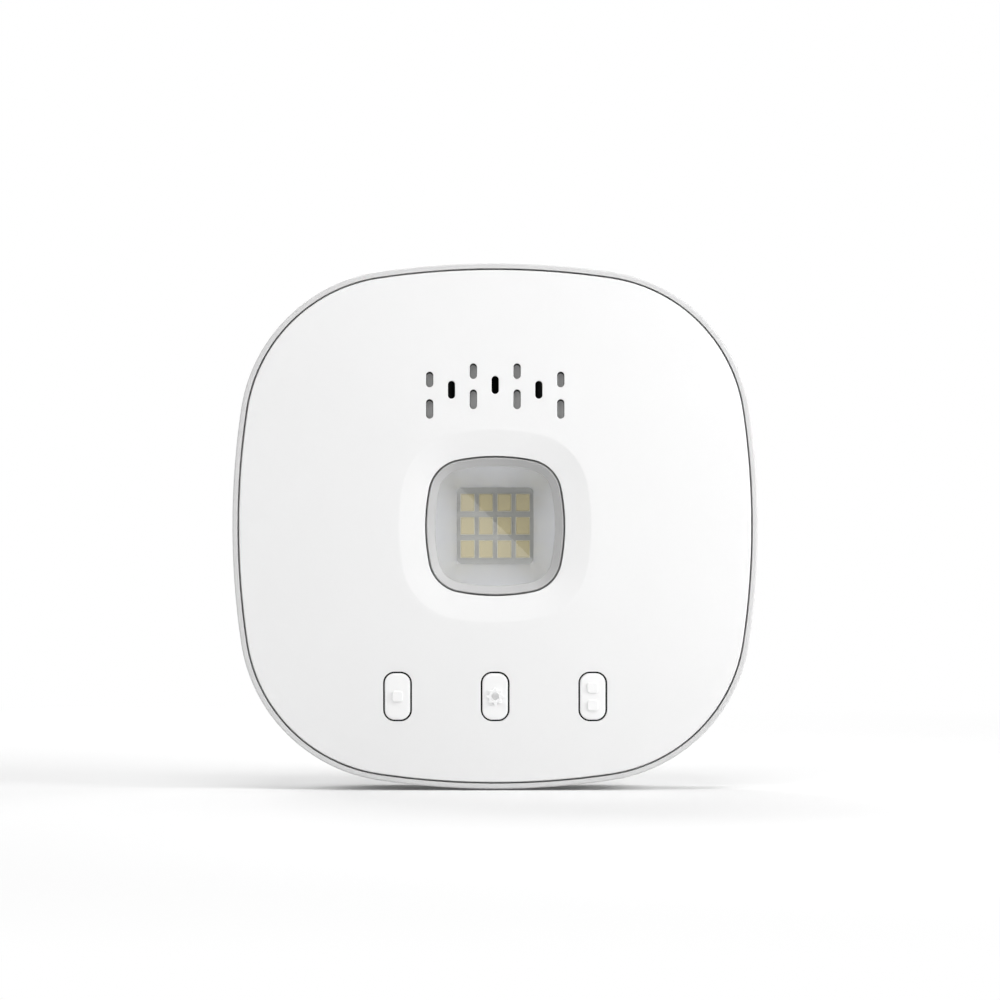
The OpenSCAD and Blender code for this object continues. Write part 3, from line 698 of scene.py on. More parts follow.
@dataclass(frozen=True)
class MouldedPlastic(Opaque):
    """Injection-moulded plastic.

    The mould's spark texture breaks the shine into a soft satin, and the tone
    drifts very slightly, as it does where the melt cooled at different speeds.
    """

    relief_mm: float = 0.012
    drift_mm: float = 40.0

    def patterns(self, tree: Tree, place: Socket) -> tuple[Socket, Socket]:
        """Builds the slow drift and the mould's grain."""
        sizes = ((self.drift_mm, 2.0), (self.grain_mm, 3.0))
        inputs = [{"Vector": place, "Scale": 1 / (size * MM), "Detail": detail} for size, detail in sizes]
        drift, grain = (add_node(tree, "ShaderNodeTexNoise", given) for given in inputs)
        return drift.outputs["Fac"], grain.outputs["Fac"]


@dataclass(frozen=True)
class PlatedMetal(Opaque):
    """Plated or bare metal with the fine streaks of its rolling or drawing."""

    roughness: float = 0.32
    grain_mm: float = 0.25
    metallic: float = 1.0
    swing: Point | None = (-0.08, 0.1)
    stretch: float = 0.08

    def patterns(self, tree: Tree, place: Socket) -> tuple[Socket, Socket]:
        """Builds the streaks, which drive the tone and the shine."""
        drawn = add_node(tree, "ShaderNodeMapping", {"Vector": place, "Scale": (1.0, 1.0, self.stretch)})
        inputs = {"Vector": drawn.outputs["Vector"], "Scale": 1 / (self.grain_mm * MM), "Detail": 3.0}
        streak = add_node(tree, "ShaderNodeTexNoise", inputs).outputs["Fac"]
        return streak, streak


@dataclass(frozen=True)
class CircuitBoard(Opaque):
    """Solder resist over copper: the buried tracks show as a raised, slightly paler pattern."""

    roughness: float = 0.35
    grain_mm: float = 2.2
    relief_mm: float = 0.03
    swing: Point | None = None
    track_edge: Point = (0.62, 0.7)

    def patterns(self, tree: Tree, place: Socket) -> tuple[Socket, Socket]:
        """Builds the tracks, which drive the tone and the relief."""
        inputs = {"Vector": place, "Scale": 1 / (self.grain_mm * MM), "Randomness": 0.75}
        cells = add_node(tree, "ShaderNodeTexVoronoi", inputs, distance="MANHATTAN", feature="F2")
        low, high = self.track_edge
        inputs = {"Value": cells.outputs["Distance"], "From Min": low, "From Max": high}
        track = add_node(tree, "ShaderNodeMapRange", inputs).outputs["Result"]
        return track, track


@dataclass(frozen=True)
class Phosphor(Opaque):
    """Clear silicone filled with yellow phosphor powder, which gives it a fine speckle."""

    roughness: float = 0.25
    grain_mm: float = 0.22
    swing: Point | None = (0.0, 0.15)

    def patterns(self, tree: Tree, place: Socket) -> tuple[Socket, Socket]:
        """Builds the powder, which drives the tone and the shine."""
        inputs = {"Vector": place, "Scale": 1 / (self.grain_mm * MM), "Detail": 2.0}
        powder = add_node(tree, "ShaderNodeTexNoise", inputs).outputs["Fac"]
        return powder, powder


@dataclass(frozen=True)
class ClearPlastic(Finish):
    """Polished clear acrylic: it shows what is behind it and mirrors the room a little."""

    tint: str = "#FEFEFE"
    roughness: float = 0.003
    haze_mm: float = 6.0
    ior: float = 1.49

    def wire(self, tree: Tree, place: Socket) -> Socket:
        """Builds the nodes of a pane that light goes straight through, and returns the shader."""
        # A faint haze of handling marks, too thin to see but enough to soften a reflection
        inputs = {"Vector": place, "Scale": 1 / (self.haze_mm * MM), "Detail": 4.0}
        haze = add_node(tree, "ShaderNodeTexNoise", inputs).outputs["Fac"]
        inputs = {"Value": haze, "To Min": self.roughness, "To Max": 2 * self.roughness}
        polish = add_node(tree, "ShaderNodeMapRange", inputs).outputs["Result"]
        clear = add_node(tree, "ShaderNodeBsdfTransparent", {"Color": srgb(self.tint)}).outputs["BSDF"]
        mirror = add_node(tree, "ShaderNodeBsdfGlossy", {"Roughness": polish}).outputs["BSDF"]
        edge = add_node(tree, "ShaderNodeFresnel", {"IOR": self.ior}).outputs["Fac"]
        # The near face mirrors for both faces, and the far face only lets the light out
        far = add_node(tree, "ShaderNodeNewGeometry").outputs["Backfacing"]
        near = add_node(tree, "ShaderNodeMath", {0: -2.0, 1: far, 2: 2.0}, operation="MULTIPLY_ADD").outputs[0]
        share = add_node(tree, "ShaderNodeMath", {0: edge, 1: near}, operation="MULTIPLY", use_clamp=True).outputs[0]
        return add_node(tree, "ShaderNodeMixShader", {0: share, 1: clear, 2: mirror}).outputs["Shader"]


# White ABS with a fine spark texture: clean, soft satin white
COVER_ABS = MouldedPlastic("white ABS, spark texture", "#F3F3F3", "#F0F0F0")
# The same ABS in a pale grey, off a plainer mould
HOUSING_ABS = MouldedPlastic("pale grey ABS, fine texture", "#DADADA", "#D5D5D5", roughness=0.5)
# The bezel is moulded in a plainly greyer plastic, smooth and satin
BEZEL_ABS = MouldedPlastic("pale grey ABS, smooth", "#BDBDBD", "#B9B9B9", roughness=0.4, relief_mm=0.002)
# Grey lacquer wiped into the blind slots, matt and a little uneven
SLOT_LACQUER = MouldedPlastic("grey matt lacquer", "#B6B6B6", "#AFAFAF", roughness=0.6, grain_mm=0.3)
# The same lacquer on the slots' walls, where it runs together and dries far darker
# The blind slots' walls in a dark matt grey, which is painted shade: it stands in for the shadow that falls inside the
# slots
SLOT_PAINTED_SHADE = MouldedPlastic("dark grey matt lacquer", "#343434", "#2E2E2E", roughness=0.6, grain_mm=0.3)
# Button caps come off a polished mould, so they shine a little more
BUTTON_ABS = MouldedPlastic("white ABS, polished mould", "#FBFBFB", "#F9F9F9", roughness=0.36, relief_mm=0.003)
# White polycarbonate under a pearly satin coat, which throws the LEDs' light forward
REFLECTOR_PC = MouldedPlastic(
    "white polycarbonate, pearl coat", "#EAECF1", "#E6E8ED", roughness=0.36, relief_mm=0.002, metallic=0.55
)
# The bracket is off-white and flatter, because nobody sees it
BRACKET_ABS = MouldedPlastic("white ABS, bracket", "#E5E5E5", "#DEDEDE", roughness=0.5, relief_mm=0.008)
# Moulded nylons: creamy and a little waxy, or with glass fibre, dull and rough
IVORY_NYLON = MouldedPlastic("ivory nylon", "#E7E2D2", "#DED8C6")
WHITE_NYLON = MouldedPlastic("white nylon", "#E9E6DE", "#E2DED4", roughness=0.42)
BLACK_NYLON = MouldedPlastic("black glass-filled nylon", "#1B1B1C", "#232324", roughness=0.55, relief_mm=0.01)
# Open-celled foam and pressed paper pulp: no shine, with pores or fibres that show. The black foam also serves as
# painted shade on the buttons' flanges, in the gaps round the caps
BLACK_FOAM_AND_SHADE = MouldedPlastic("black foam rubber", "#121212", "#1A1A1A", roughness=0.9, grain_mm=0.7, relief_mm=0.08)
BLACK_PAPER = MouldedPlastic("pressed black paper", "#151516", "#1D1D1E", roughness=0.85, grain_mm=0.4, relief_mm=0.04)
# Extruded wire insulation: smooth, with a soft shine along it
RED_VINYL = MouldedPlastic("red vinyl", "#A8201B", "#971913", roughness=0.4, relief_mm=0.002)
BLACK_VINYL = MouldedPlastic("black vinyl", "#161616", "#1F1F1F", roughness=0.4, relief_mm=0.002)
# Pressed and fired powders: matt and finely grained
CHIP_EPOXY = MouldedPlastic("black moulded epoxy", "#1C1D1F", "#242527", roughness=0.6, grain_mm=0.25)
FERRITE = MouldedPlastic("pressed ferrite", "#3A3B3D", "#303133", roughness=0.65, grain_mm=0.3)
CERAMIC = MouldedPlastic("fired ceramic", "#A88F6E", "#8D7657", roughness=0.5, grain_mm=0.3)
# Moulded resin of the LEDs: warm white and smooth
LED_RESIN = MouldedPlastic("white LED resin", "#E2DFCB", "#DAD6BE", roughness=0.4, relief_mm=0.002)
# Cast acrylic, polished: clear, with a crisp reflection
CLEAR_ACRYLIC = ClearPlastic("clear acrylic, polished")
# Metals: bluish zinc, brighter tin, soft rolled aluminium, drawn cans and copper wire, all with fine streaks
ZINC_STEEL = PlatedMetal("zinc-plated steel", "#B9BBC0", "#9FA2A8")
TINNED_STEEL = PlatedMetal("tin-plated steel", "#C9C9C8", "#B4B4B3", roughness=0.28)
BARE_ALUMINIUM = PlatedMetal("rolled aluminium", "#D3D5D8", "#C2C4C8", roughness=0.38)
CAN_ALUMINIUM = PlatedMetal("drawn aluminium can", "#B4B8C0", "#A2A6AF", roughness=0.34)
COPPER_WIRE = PlatedMetal("drawn copper", "#C9835A", "#B56E45", roughness=0.3)
# Solder resists: glassy over the fine tracks, and satin over the broad ones of the LED board
GREEN_BOARD = CircuitBoard("green solder resist", "#0E4527", "#1A5F38")
BLUE_BOARD = CircuitBoard("blue solder resist", "#12305A", "#1C4178", grain_mm=1.4)
GREY_BOARD = CircuitBoard("grey solder resist on aluminium", "#A6A7A3", "#ADAEAA", roughness=0.45, grain_mm=3.0)
# Silicone full of phosphor powder: dusty yellow and slightly glossy
YELLOW_PHOSPHOR = Phosphor("phosphor silicone", "#C5B98B", "#BBAE7C")


# Pieces


@dataclass(frozen=True)
class Body:
    """Sizes that the shells share, in millimetres."""

    rim: SoftSquare = SoftSquare(62.5, 189.0, 38.7)
    light: SoftSquare = SoftSquare(16.47, 45.4, 8.46, side_steps=5, corner_steps=14)
    rim_z: float = 31.2
    shelf_z: float = 28.8
    dish_z: float = 31.7535
    lip_z: float = 29.5035
    window_z: float = 27.9035
    led_board_z: float = 20.5035
    pad_z: float = 29.7035
    split_z: float = 20.0035
    boss: float = 41.6739
    sounder_y: float = 33.0
    button_y: float = -40.5
    button_pitch: float = 23.2
    button_size: Triple = (6.15, 11.15, 2.4)
    panel_half: float = 60.87
    panel_t: float = 2.2
    crown_z: float = 32.98
    crown_rise: float = 1.6

    def crown(self) -> Crown:
        """Returns the panel's domed face."""
        return Crown(self.rim.at_half(self.panel_half), self.crown_z, self.crown_rise)

    def bosses(self) -> list[Point]:
        """Returns the places of the four case screws."""
        return [(sx * self.boss, sy * self.boss) for sx in (-1, 1) for sy in (-1, 1)]

    def button_places(self) -> list[Point]:
        """Returns the places of the three buttons."""
        return [(k * self.button_pitch, self.button_y) for k in (-1, 0, 1)]


BODY = Body()


def attach(piece: Piece, body: str, slot: str, *nodes: str) -> Piece:
    """Ties a finished piece to the frame.

    Args:
        piece: The piece.
        body: Body that it rides on.
        slot: The record's material slot; not used.
        *nodes: CAD nodes that it stands for.

    Returns:
        The same piece.
    """
    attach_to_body(piece, body)
    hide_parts(*nodes)
    log.info("%s rides on %s: %d faces", piece.name, body, len(piece.data.polygons))
    return piece


@dataclass
class FrontCover:
    """Crowned panel with its dish, slots, button openings and the ribs behind it."""

    body: Body = BODY
    edge_r: float = 0.3
    skirt_half: float = 59.9
    skirt_t: float = 1.6
    skirt_h: float = 4.6
    dish_half: float = 22.9
    dish_drop: float = 1.02
    opening_half: float = 16.67
    collar_half: float = 19.47
    mouth_r: float = 0.15
    bore_edge_r: float = 0.2
    rib_r: float = 0.25
    slot_w: float = 1.7
    slot_slope: float = 0.42
    slot_pitch: float = 5.19
    slot_depth: float = 1.2
    # Column, rise and length as shares of the pitch, and whether the slot goes through
    slot_shares: tuple[tuple[int, float, float, bool], ...] = (
        (0, 0.1, 0.825, True),
        (1, 0.73, 0.71, False),
        (1, -0.56, 0.9, False),
        (2, -0.12, 0.82, True),
        (3, 0.35, 0.71, False),
        (3, -1.0, 0.89, False),
    )
    button_gap: float = 0.35
    button_block: float = 6.5
    sounder_r: float = 12.2
    sounder_wall: float = 1.2
    sounder_depth: float = 4.2
    boss_r: Point = (1.5, 3.3)
    spacing: Point = (1.5, 4.0)

    def slots(self) -> list[tuple[RoundRect, bool]]:
        """Returns each slot's outline and whether it goes through."""
        found = []
        for column, rise, length, through in self.slot_shares:
            for side in (1,) if column == 0 else (-1, 1):
                centre = (side * column * self.slot_pitch, self.body.sounder_y + rise * self.slot_pitch)
                size = (self.slot_w, length * self.slot_pitch, self.slot_w / 2 - 0.01)
                found.append((RoundRect(*size, centre, 10, 1, 3), through))
        return found

    def mouth(self) -> list[Point]:
        """Returns the stations of a softened edge, from the face down."""
        r = self.mouth_r
        return [(r + 0.45, 0.0), *soften([(r + 0.1, 0.0, 0), (0.0, 0.0, r), (0.0, -2 * r, 0)], 4)]

    def build(self) -> Piece:
        """Builds the cover and returns it."""
        b, skin, crown = self.body, Skin(), self.body.crown()
        face, under = crown.height, crown.lowered(b.panel_t).height
        top_holes, under_holes, pad_holes, block_holes = [], [], [], []

        # Skirt, seat and rolled edge
        inner, foot, r = self.skirt_half - self.skirt_t, b.shelf_z - self.skirt_h, self.edge_r
        start = skin.walk(b.rim.at_half(inner), [(0, 0)], over=under)
        seat = [(inner, b.shelf_z, 0), (inner, foot, r), (self.skirt_half, foot, r), (self.skirt_half, b.shelf_z, 0)]
        seat += [(b.panel_half, b.shelf_z, self.mouth_r), (b.panel_half, b.shelf_z + 1, 0)]
        edge = skin.walk(b.rim, [(half - b.rim.half, z) for half, z in soften(seat, 3)], start)
        roll = [(r * (math.cos(a) - 1), r * (math.sin(a) - 1)) for a in np.linspace(0, QUARTER, 9)]
        lid = skin.walk(crown.outline, [*roll, (-r - 0.7, 0.0)], edge, face)

        # Dish and light opening, then the collar behind it
        light, wide = b.light.at_half(self.opening_half), self.collar_half - self.opening_half
        ramp = self.dish_half - self.opening_half
        slope = self.dish_drop / ramp
        crest = [(r * (1 - 2 * t), -t * t * r * slope) for t in np.linspace(0, 1, 5)]
        brim = skin.walk(light.grown(ramp), [(1.2, 0.0), *crest], over=face)
        top_holes.append(skin.first)
        throat = [(0.8, b.dish_z + 0.8 * slope, 0), (0, b.dish_z, self.mouth_r), (0, b.pad_z, self.bore_edge_r)]
        throat += [(wide, b.pad_z, r), (wide, b.pad_z + 0.6, 0)]
        collar = skin.walk(light, soften(throat, 4), brim)
        under_holes.append(skin.walk(light.grown(wide), [(0, 0)], collar, under))

        for outline, through in self.slots():
            rim = skin.walk(outline, self.mouth(), over=face)
            top_holes.append(skin.first)
            if through:
                pad_holes.append(skin.walk(outline, [(0, b.pad_z)], rim))
                continue
            # The top end of a blind slot slopes most, and the walls are dark grey as painted shade
            width, height, radius = outline.width - 0.2, outline.height - self.slot_slope, outline.radius - 0.11
            centre = (outline.centre[0], outline.centre[1] - self.slot_slope / 2)
            low = replace(outline, width=width, height=height, radius=radius, centre=centre).points()
            skin.coat(2)
            edge = skin.walk(outline, [(0, -0.3)], rim, face)
            floor = skin.ring(low, face(low) - self.slot_depth)
            skin.bridge(edge, floor)
            skin.coat(1)
            skin.cap(floor, up=True)
            skin.coat(0)

        # Sounder's ring wall round the pad that the slots open into
        ring, wall = Circle(self.sounder_r, (0, b.sounder_y), 96), self.sounder_wall
        high, low = b.pad_z - 1, b.pad_z - self.sounder_depth
        pad = skin.walk(ring, [(0, b.pad_z)])
        skin.sheet(pad, pad_holes, up=False)
        lips = soften([(0, high, 0), (0, low, self.rib_r), (wall, low, self.rib_r), (wall, high, 0)], 3)
        under_holes.append(skin.walk(ring.grown(wall), [(0, 0)], skin.walk(ring, lips, pad), under))

        # Button openings and the block round them
        w, h, radius = b.button_size
        for centre in b.button_places():
            gap = self.button_gap
            outline = RoundRect(w + 2 * gap, h + 2 * gap, radius + gap, centre)
            rim = skin.walk(outline, self.mouth(), over=face)
            top_holes.append(skin.first)
            block_holes.append(skin.walk(outline, [(0, b.pad_z)], rim))
        size = (2 * b.button_pitch + w + self.button_block, h + self.button_block, 1.0)
        base = RoundRect(*size, (0, b.button_y), across_steps=24, along_steps=6)
        outer = skin.walk(base, [(0, b.pad_z)])
        skin.sheet(outer, block_holes, up=False)
        under_holes.append(skin.walk(base, [(0, 0)], outer, under))

        # Screw bosses
        (bore_r, boss_r), low = self.boss_r, b.split_z + 0.2
        out = boss_r - bore_r
        post = [(0, b.split_z + 1, 0), (0, low, self.bore_edge_r), (out, low, self.rib_r), (out, b.split_z + 2, 0)]
        for centre in b.bosses():
            ceiling = skin.walk(Circle(bore_r, centre, 32), [(0, b.shelf_z)])
            skin.cap(ceiling, up=False)
            rim = skin.walk(Circle(bore_r, centre, 32), soften(post, 3), ceiling)
            under_holes.append(skin.walk(Circle(boss_r, centre, 32), [(0, 0)], rim, under))

        skin.sheet(lid, top_holes, up=True, spacing=self.spacing[0], height=face)
        skin.sheet(start, under_holes, up=False, spacing=self.spacing[1], height=under)
        cover = COVER_ABS.dress(even_shading(skin.solid("cover_panel")))
        # The blind slots' grey floor finish, and the painted shade on their walls
        for finish in (SLOT_LACQUER, SLOT_PAINTED_SHADE):
            cover.data.materials.append(finish.material())
        return attach(cover, "hub", "cover_white", "front_cover")


@dataclass
class RearHousing:
    """Tub behind the panel, with its rim, screw wells, vents, bracket recess and lead notch."""

    body: Body = BODY
    back_z: float = 0.8
    floor_z: float = 3.0
    draft: float = 1.5
    back_r: float = 4.0
    floor_r: float = 2.2
    wall_t: float = 2.4
    rim_r: float = 0.4
    seat_half: float = 61.27
    inner_half: float = 60.1
    step_z: float = 23.9
    seat_z: float = 6.0
    shoulder_z: float = 8.0
    recess_span: Point = (-80.0, 36.3)
    recess_roof: float = 5.5
    recess_lip: float = 2.8
    recess_half: float = 25.2
    neck_half: float = 21.5
    block_low: float = -70.0
    block_roof: float = 7.5
    block_t: float = 2.0
    core_inset: float = 1.9
    groove_w: float = 8.4
    groove_span: Point = (-80.0, 3.0)
    notch_size: Triple = (11.4, 6.6, 1.6)
    notch_z: float = 14.9035
    vent_count: int = 9
    vent_pitch: float = 4.8
    vent_y: float = 47.3
    vent_size: Triple = (1.6, 8.0, 0.79)
    well_r: float = 3.1
    post: Point = (44.0, 20.0)
    post_r: float = 3.0
    board_z: float = 16.4035
    edge_soft: float = 0.35

    def shell(self) -> Piece:
        """Builds the tub with its wells, posts and vents."""
        b, skin, soft, floor, back = self.body, Skin(), self.edge_soft, self.floor_z, self.back_z
        back_half = b.rim.half - self.draft
        inside_half = back_half - self.wall_t
        profile = [(back_half - self.back_r - 0.1, back, 0), (back_half, back, self.back_r)]
        profile += [(b.rim.half, b.rim_z, self.rim_r), (self.seat_half, b.rim_z, 0.1), (self.seat_half, b.shelf_z, 0.1)]
        profile += [(self.inner_half, b.shelf_z, 0.2), (self.inner_half, self.step_z, 1.0), (inside_half, floor + 3, 0)]
        turns = [(1 - math.cos(a), 1 - math.sin(a)) for a in np.linspace(0, QUARTER, 7)]
        bend = [(inside_half - self.floor_r * u, floor + self.floor_r * v) for u, v in turns]
        outer = skin.walk(b.rim, [(half - b.rim.half, z) for half, z in soften(profile, 8) + bend[1:]])
        back_ring = skin.first

        tower = [(1.6, floor + 0.5, 0), (1.6, self.shoulder_z, 0.3), (0.5, self.shoulder_z, 0.3), (0.5, b.split_z, 0.3)]
        tower += [(-1.35, b.split_z, 0.2), (-1.35, self.seat_z, 0), (0, self.seat_z, 0)]
        tower = [(1.6, floor), *soften([*tower, (0, back, soft), (soft + 0.4, back, 0)], 4)]
        pin_r, pin_z = -1.7, self.board_z
        pillar = [(0, floor + 0.5, 0), (0, pin_z, 0.3), (pin_r, pin_z, 0.2), (pin_r, pin_z - 8, 0)]
        pillar = [(0, floor), *soften(pillar, 3)]
        slit = [(0, floor), *soften([(0, floor - 0.2, 0), (0, back, soft), (soft + 0.4, back, 0)], 4)]
        (x, y), middle = self.post, (self.vent_count - 1) / 2
        vents = [((k - middle) * self.vent_pitch, self.vent_y) for k in range(self.vent_count)]
        holes = [(Circle(self.well_r, place, 40), tower) for place in b.bosses()]
        holes += [(Circle(self.post_r, (sx * x, sy * y), 32), pillar) for sx in (-1, 1) for sy in (-1, 1)]
        holes += [(RoundRect(*self.vent_size, place, 8, 1, 4), slit) for place in vents]
        back_holes, floor_holes = [], []
        for outline, stations in holes:
            end = skin.walk(outline, stations)
            floor_holes.append(skin.first)
            if stations is pillar:
                skin.cap(end, up=True)
            else:
                back_holes.append(end)
        skin.sheet(back_ring, back_holes, up=False)
        skin.sheet(outer, floor_holes, up=True)
        return skin.solid("housing_tub")

    def recess_block(self) -> Piece:
        """Builds the block that the recess is sunk into, which ends inside the side wall."""
        b, low, high = self.body, self.block_low, self.recess_span[1] + self.block_t
        outline = RoundRect(2 * (self.recess_half + self.block_t), high - low, 0.8, (0, (high + low) / 2))
        sides = [(0, 3, 0), (0, self.block_roof, 0.4), (-2, self.block_roof, 0)]
        made = block("recess_block", (outline, [(0, 1.9), *soften(sides, 3)]))
        wall = b.rim.at_half(b.rim.half - self.draft - self.core_inset)
        carve(made, block("wall_core", (wall, [(0, 0.5), (0, self.block_roof + 2)])), "INTERSECT")
        return made

    def tools(self) -> list[Piece]:
        """Builds the shapes of the recess, the latch's groove and the power lead's notch."""
        soft, (low, high) = self.edge_soft, self.recess_span
        neck = RoundRect(2 * self.neck_half, high - low, 0.6, (0, (high + low) / 2))
        # A hair longer than the neck, so that no face between them has zero area
        wide = replace(neck, width=2 * self.recess_half, height=high - low + 0.04)
        flare = soften([(soft + 1, self.back_z, 0), (0, self.back_z, soft), (0, self.recess_lip, 0)], 5)
        roof = [(0, self.recess_lip), (0, self.recess_roof)]
        recess = block("recess_tool", (neck, [(soft + 1, -1.0), *flare]), (wide, roof))
        low, high = self.groove_span
        line = RoundRect(self.groove_w, high - low, 0.4, (0, (high + low) / 2))
        groove = block("groove_tool", (line, [(0, self.recess_roof - 0.5), (0, self.recess_roof + 1)]))
        # The notch flares where it leaves the side wall
        flare = soften([(0, -57.5, 0), (0, -61.55, 0.5), (1.2, -61.55, 0), (1.2, -66, 0)], 5)
        line = RoundRect(*self.notch_size, (0, -self.notch_z))
        return [recess, groove, block("notch_tool", (line, flare[::-1]), stand=Stand.FLOOR)]

    def build(self) -> Piece:
        """Builds the housing and returns it."""
        housing = self.shell()
        carve(housing, self.recess_block(), "UNION")
        for tool in self.tools():
            carve(housing, tool)
        HOUSING_ABS.dress(even_shading(housing, 32.0))
        return attach(housing, "hub", "housing_grey", "rear_housing")


@dataclass
class GridOf:
    """One part set out on a grid by Geometry Nodes.

    Attributes:
        name: Name of the piece.
        part: Part that is repeated, thrown away at the end.
        count: Columns and rows.
        pitch: Distance between columns and between rows, in millimetres.
        z: How far out of the wall the parts are set, in millimetres.
        finish: Finish of every copy.
    """

    name: str
    part: Piece
    count: tuple[int, int]
    pitch: Point
    z: float
    finish: Finish

    @staticmethod
    def tree() -> Tree:
        """Returns the node tree, made once."""
        made = bpy.data.node_groups.get("set out on a grid")
        if made is not None:
            return made
        tree = bpy.data.node_groups.new("set out on a grid", "GeometryNodeTree")
        tree.interface.new_socket("Geometry", in_out="OUTPUT", socket_type="NodeSocketGeometry")
        sockets = {"Part": "Object", "Columns": "Int", "Rows": "Int", "Column Pitch": "Float", "Row Pitch": "Float"}
        for name, kind in {**sockets, "Centre": "Vector", "Finish": "Material"}.items():
            tree.interface.new_socket(name, in_out="INPUT", socket_type=f"NodeSocket{kind}")
        given = add_node(tree, "NodeGroupInput").outputs
        size = {"Vertices X": given["Columns"], "Vertices Y": given["Rows"]}
        for axis, count, pitch in (("X", "Columns", "Column Pitch"), ("Y", "Rows", "Row Pitch")):
            gaps = add_node(tree, "ShaderNodeMath", {0: given[count], 1: 1.0}, operation="SUBTRACT").outputs[0]
            span = add_node(tree, "ShaderNodeMath", {0: gaps, 1: given[pitch]}, operation="MULTIPLY")
            size[f"Size {axis}"] = span.outputs[0]
        grid = add_node(tree, "GeometryNodeMeshGrid", size).outputs["Mesh"]
        part = add_node(tree, "GeometryNodeObjectInfo", {"Object": given["Part"]}).outputs["Geometry"]
        steps = (
            ("InstanceOnPoints", "Points", {"Instance": part}),
            ("RealizeInstances", "Geometry", {}),
            ("Transform", "Geometry", {"Translation": given["Centre"], "Rotation": (QUARTER, 0.0, 0.0)}),
            ("SetMaterial", "Geometry", {"Material": given["Finish"]}),
        )
        for kind, entry, inputs in steps:
            grid = add_node(tree, f"GeometryNode{kind}", {entry: grid, **inputs}).outputs[0]
        add_node(tree, "NodeGroupOutput", {0: grid})
        return tree

    def build(self) -> Piece:
        """Sets the part out and returns the plain mesh that it makes."""
        piece = placed(self.name, bpy.data.meshes.new(self.name))
        modifier = piece.modifiers.new("set out", "NODES")
        modifier.node_group = self.tree()
        values = {
            "Part": self.part,
            "Columns": self.count[0],
            "Rows": self.count[1],
            "Column Pitch": self.pitch[0] * MM,
            "Row Pitch": self.pitch[1] * MM,
            "Centre": (0.0, -self.z * MM, 0.0),
            "Finish": self.finish.material(),
        }
        for item in modifier.node_group.interface.items_tree:
            if item.in_out == "INPUT":
                modifier[item.identifier] = values[item.name]
        baked(piece)
        bpy.data.objects.remove(self.part)
        return piece


@dataclass
class LightUnit:
    """Bezel, window, reflector and the twelve LEDs."""

    body: Body = BODY
    bezel_half: float = 16.27
    lip_half: float = 14.2
    land: float = 0.22
    pocket_half: float = 15.3
    flange_half: float = 18.07
    window_half: float = 15.1
    window_t: float = 1.5
    array: SoftSquare = SoftSquare(9.2, 400.0, 1.2, side_steps=5, corner_steps=14)
    wall_h: float = 1.0
    foot_w: float = 1.3
    funnel_t: float = 1.1
    funnel_flange: Point = (2.1, 0.8)
    led: Triple = (3.45, 4.28, 0.7)
    led_wall: float = 0.15
    led_pitch: Point = (4.42, 5.58)

    def bezel(self) -> None:
        """Builds the bevelled ring round the window."""
        b = self.body
        corners = [
            (self.bezel_half, b.dish_z, 0.18),
            (self.lip_half + self.land, b.lip_z + 0.42, 0.12),
            (self.lip_half, b.lip_z + 0.4, 0.1),
            (self.lip_half, b.lip_z, 0.05),
            (self.pocket_half, b.lip_z, 0.05),
            (self.pocket_half, b.window_z, 0.05),
            (self.flange_half, b.window_z, 0.1),
            (self.flange_half, b.lip_z, 0.1),
            (self.bezel_half, b.lip_z, 0.05),
        ]
        rings = [(b.light.at_half(half).points(), z) for half, z in soften(corners, 4, closed=True)]
        attach(BEZEL_ABS.dress(even_shading(hoop("light_bezel", rings))), "hub", "cover_white", "lens_bezel")

    def window(self) -> None:
        """Builds the clear window."""
        low, high = self.body.window_z, self.body.window_z + self.window_t
        line = soften([(-1, low, 0), (0, low, 0.12), (0, high, 0.12), (-1, high, 0)], 3)
        pane = even_shading(block("light_window", (self.body.light.at_half(self.window_half), line)))
        attach(CLEAR_ACRYLIC.dress(pane), "hub", "window_clear", "lens_window")

    def reflector(self) -> None:
        """Builds the funnel from the LEDs up to the window."""
        b, base, top, cup = self.body, self.body.led_board_z, self.body.window_z, self.array.points()
        wide, thick = self.funnel_flange
        sizes = (self.lip_half, self.lip_half + self.funnel_t, self.lip_half + wide)
        mouth, outer, flange = (b.light.at_half(half).points() for half in sizes)
        bend, rim, foot = base + self.wall_h, top - thick, self.array.grown(self.foot_w).points()
        rings = [(mouth, top)]
        for k in range(1, 11):
            share = 1 - k / 10
            rings.append((cup * (1 - share) + mouth * share, top + (bend - top) * k / 10))
        rings += [(cup, bend - 0.15), (cup, base), (foot, base), (foot, bend)]
        rings += [(outer * 0.93 + foot * 0.07, rim), (flange, rim), (flange, top)]
        funnel = REFLECTOR_PC.dress(even_shading(hoop("light_reflector", rings), 40.0))
        attach(funnel, "hub", "reflector_white", "reflector")

    def leds(self) -> None:
        """Builds the LEDs' resin frames, each with a tapered cup, and their slightly sunken phosphor faces."""
        (w, h, t), wall = self.led, 2 * self.led_wall
        cup = [(0, 0), (0, t - 0.05), (-0.04, t), (-0.1, t), (-0.22, 0.2)]
        face = [(-0.06, 0.21), (0, t - 0.05), (-0.2, t - 0.08), (-0.7, t - 0.11)]
        case, pad = RoundRect(w, h, 0.12, (0, 0), 3, 1, 1), RoundRect(w - wall, h - wall, 0.3, (0, 0), 4, 1, 1)
        parts = (
            ("led_frames", case, cup, LED_RESIN, "led_white", "led_packages"),
            ("led_faces", pad, face, YELLOW_PHOSPHOR, "phosphor_yellow", "led_phosphors"),
        )
        for name, outline, stations, finish, slot, node in parts:
            part = block("led", (outline, stations), stand=Stand.FLOOR)
            grid = GridOf(name, part, (4, 3), self.led_pitch, self.body.led_board_z, finish)
            attach(grid.build(), "hub", slot, node)

    def build(self) -> None:
        """Builds the unit's pieces."""
        self.bezel()
        self.window()
        self.reflector()
        self.leds()


class Icon(enum.Enum):
    """Raised mark on a button's face."""

    SQUARE = "one square"
    GEAR = "gear"
    PAIR = "two squares"


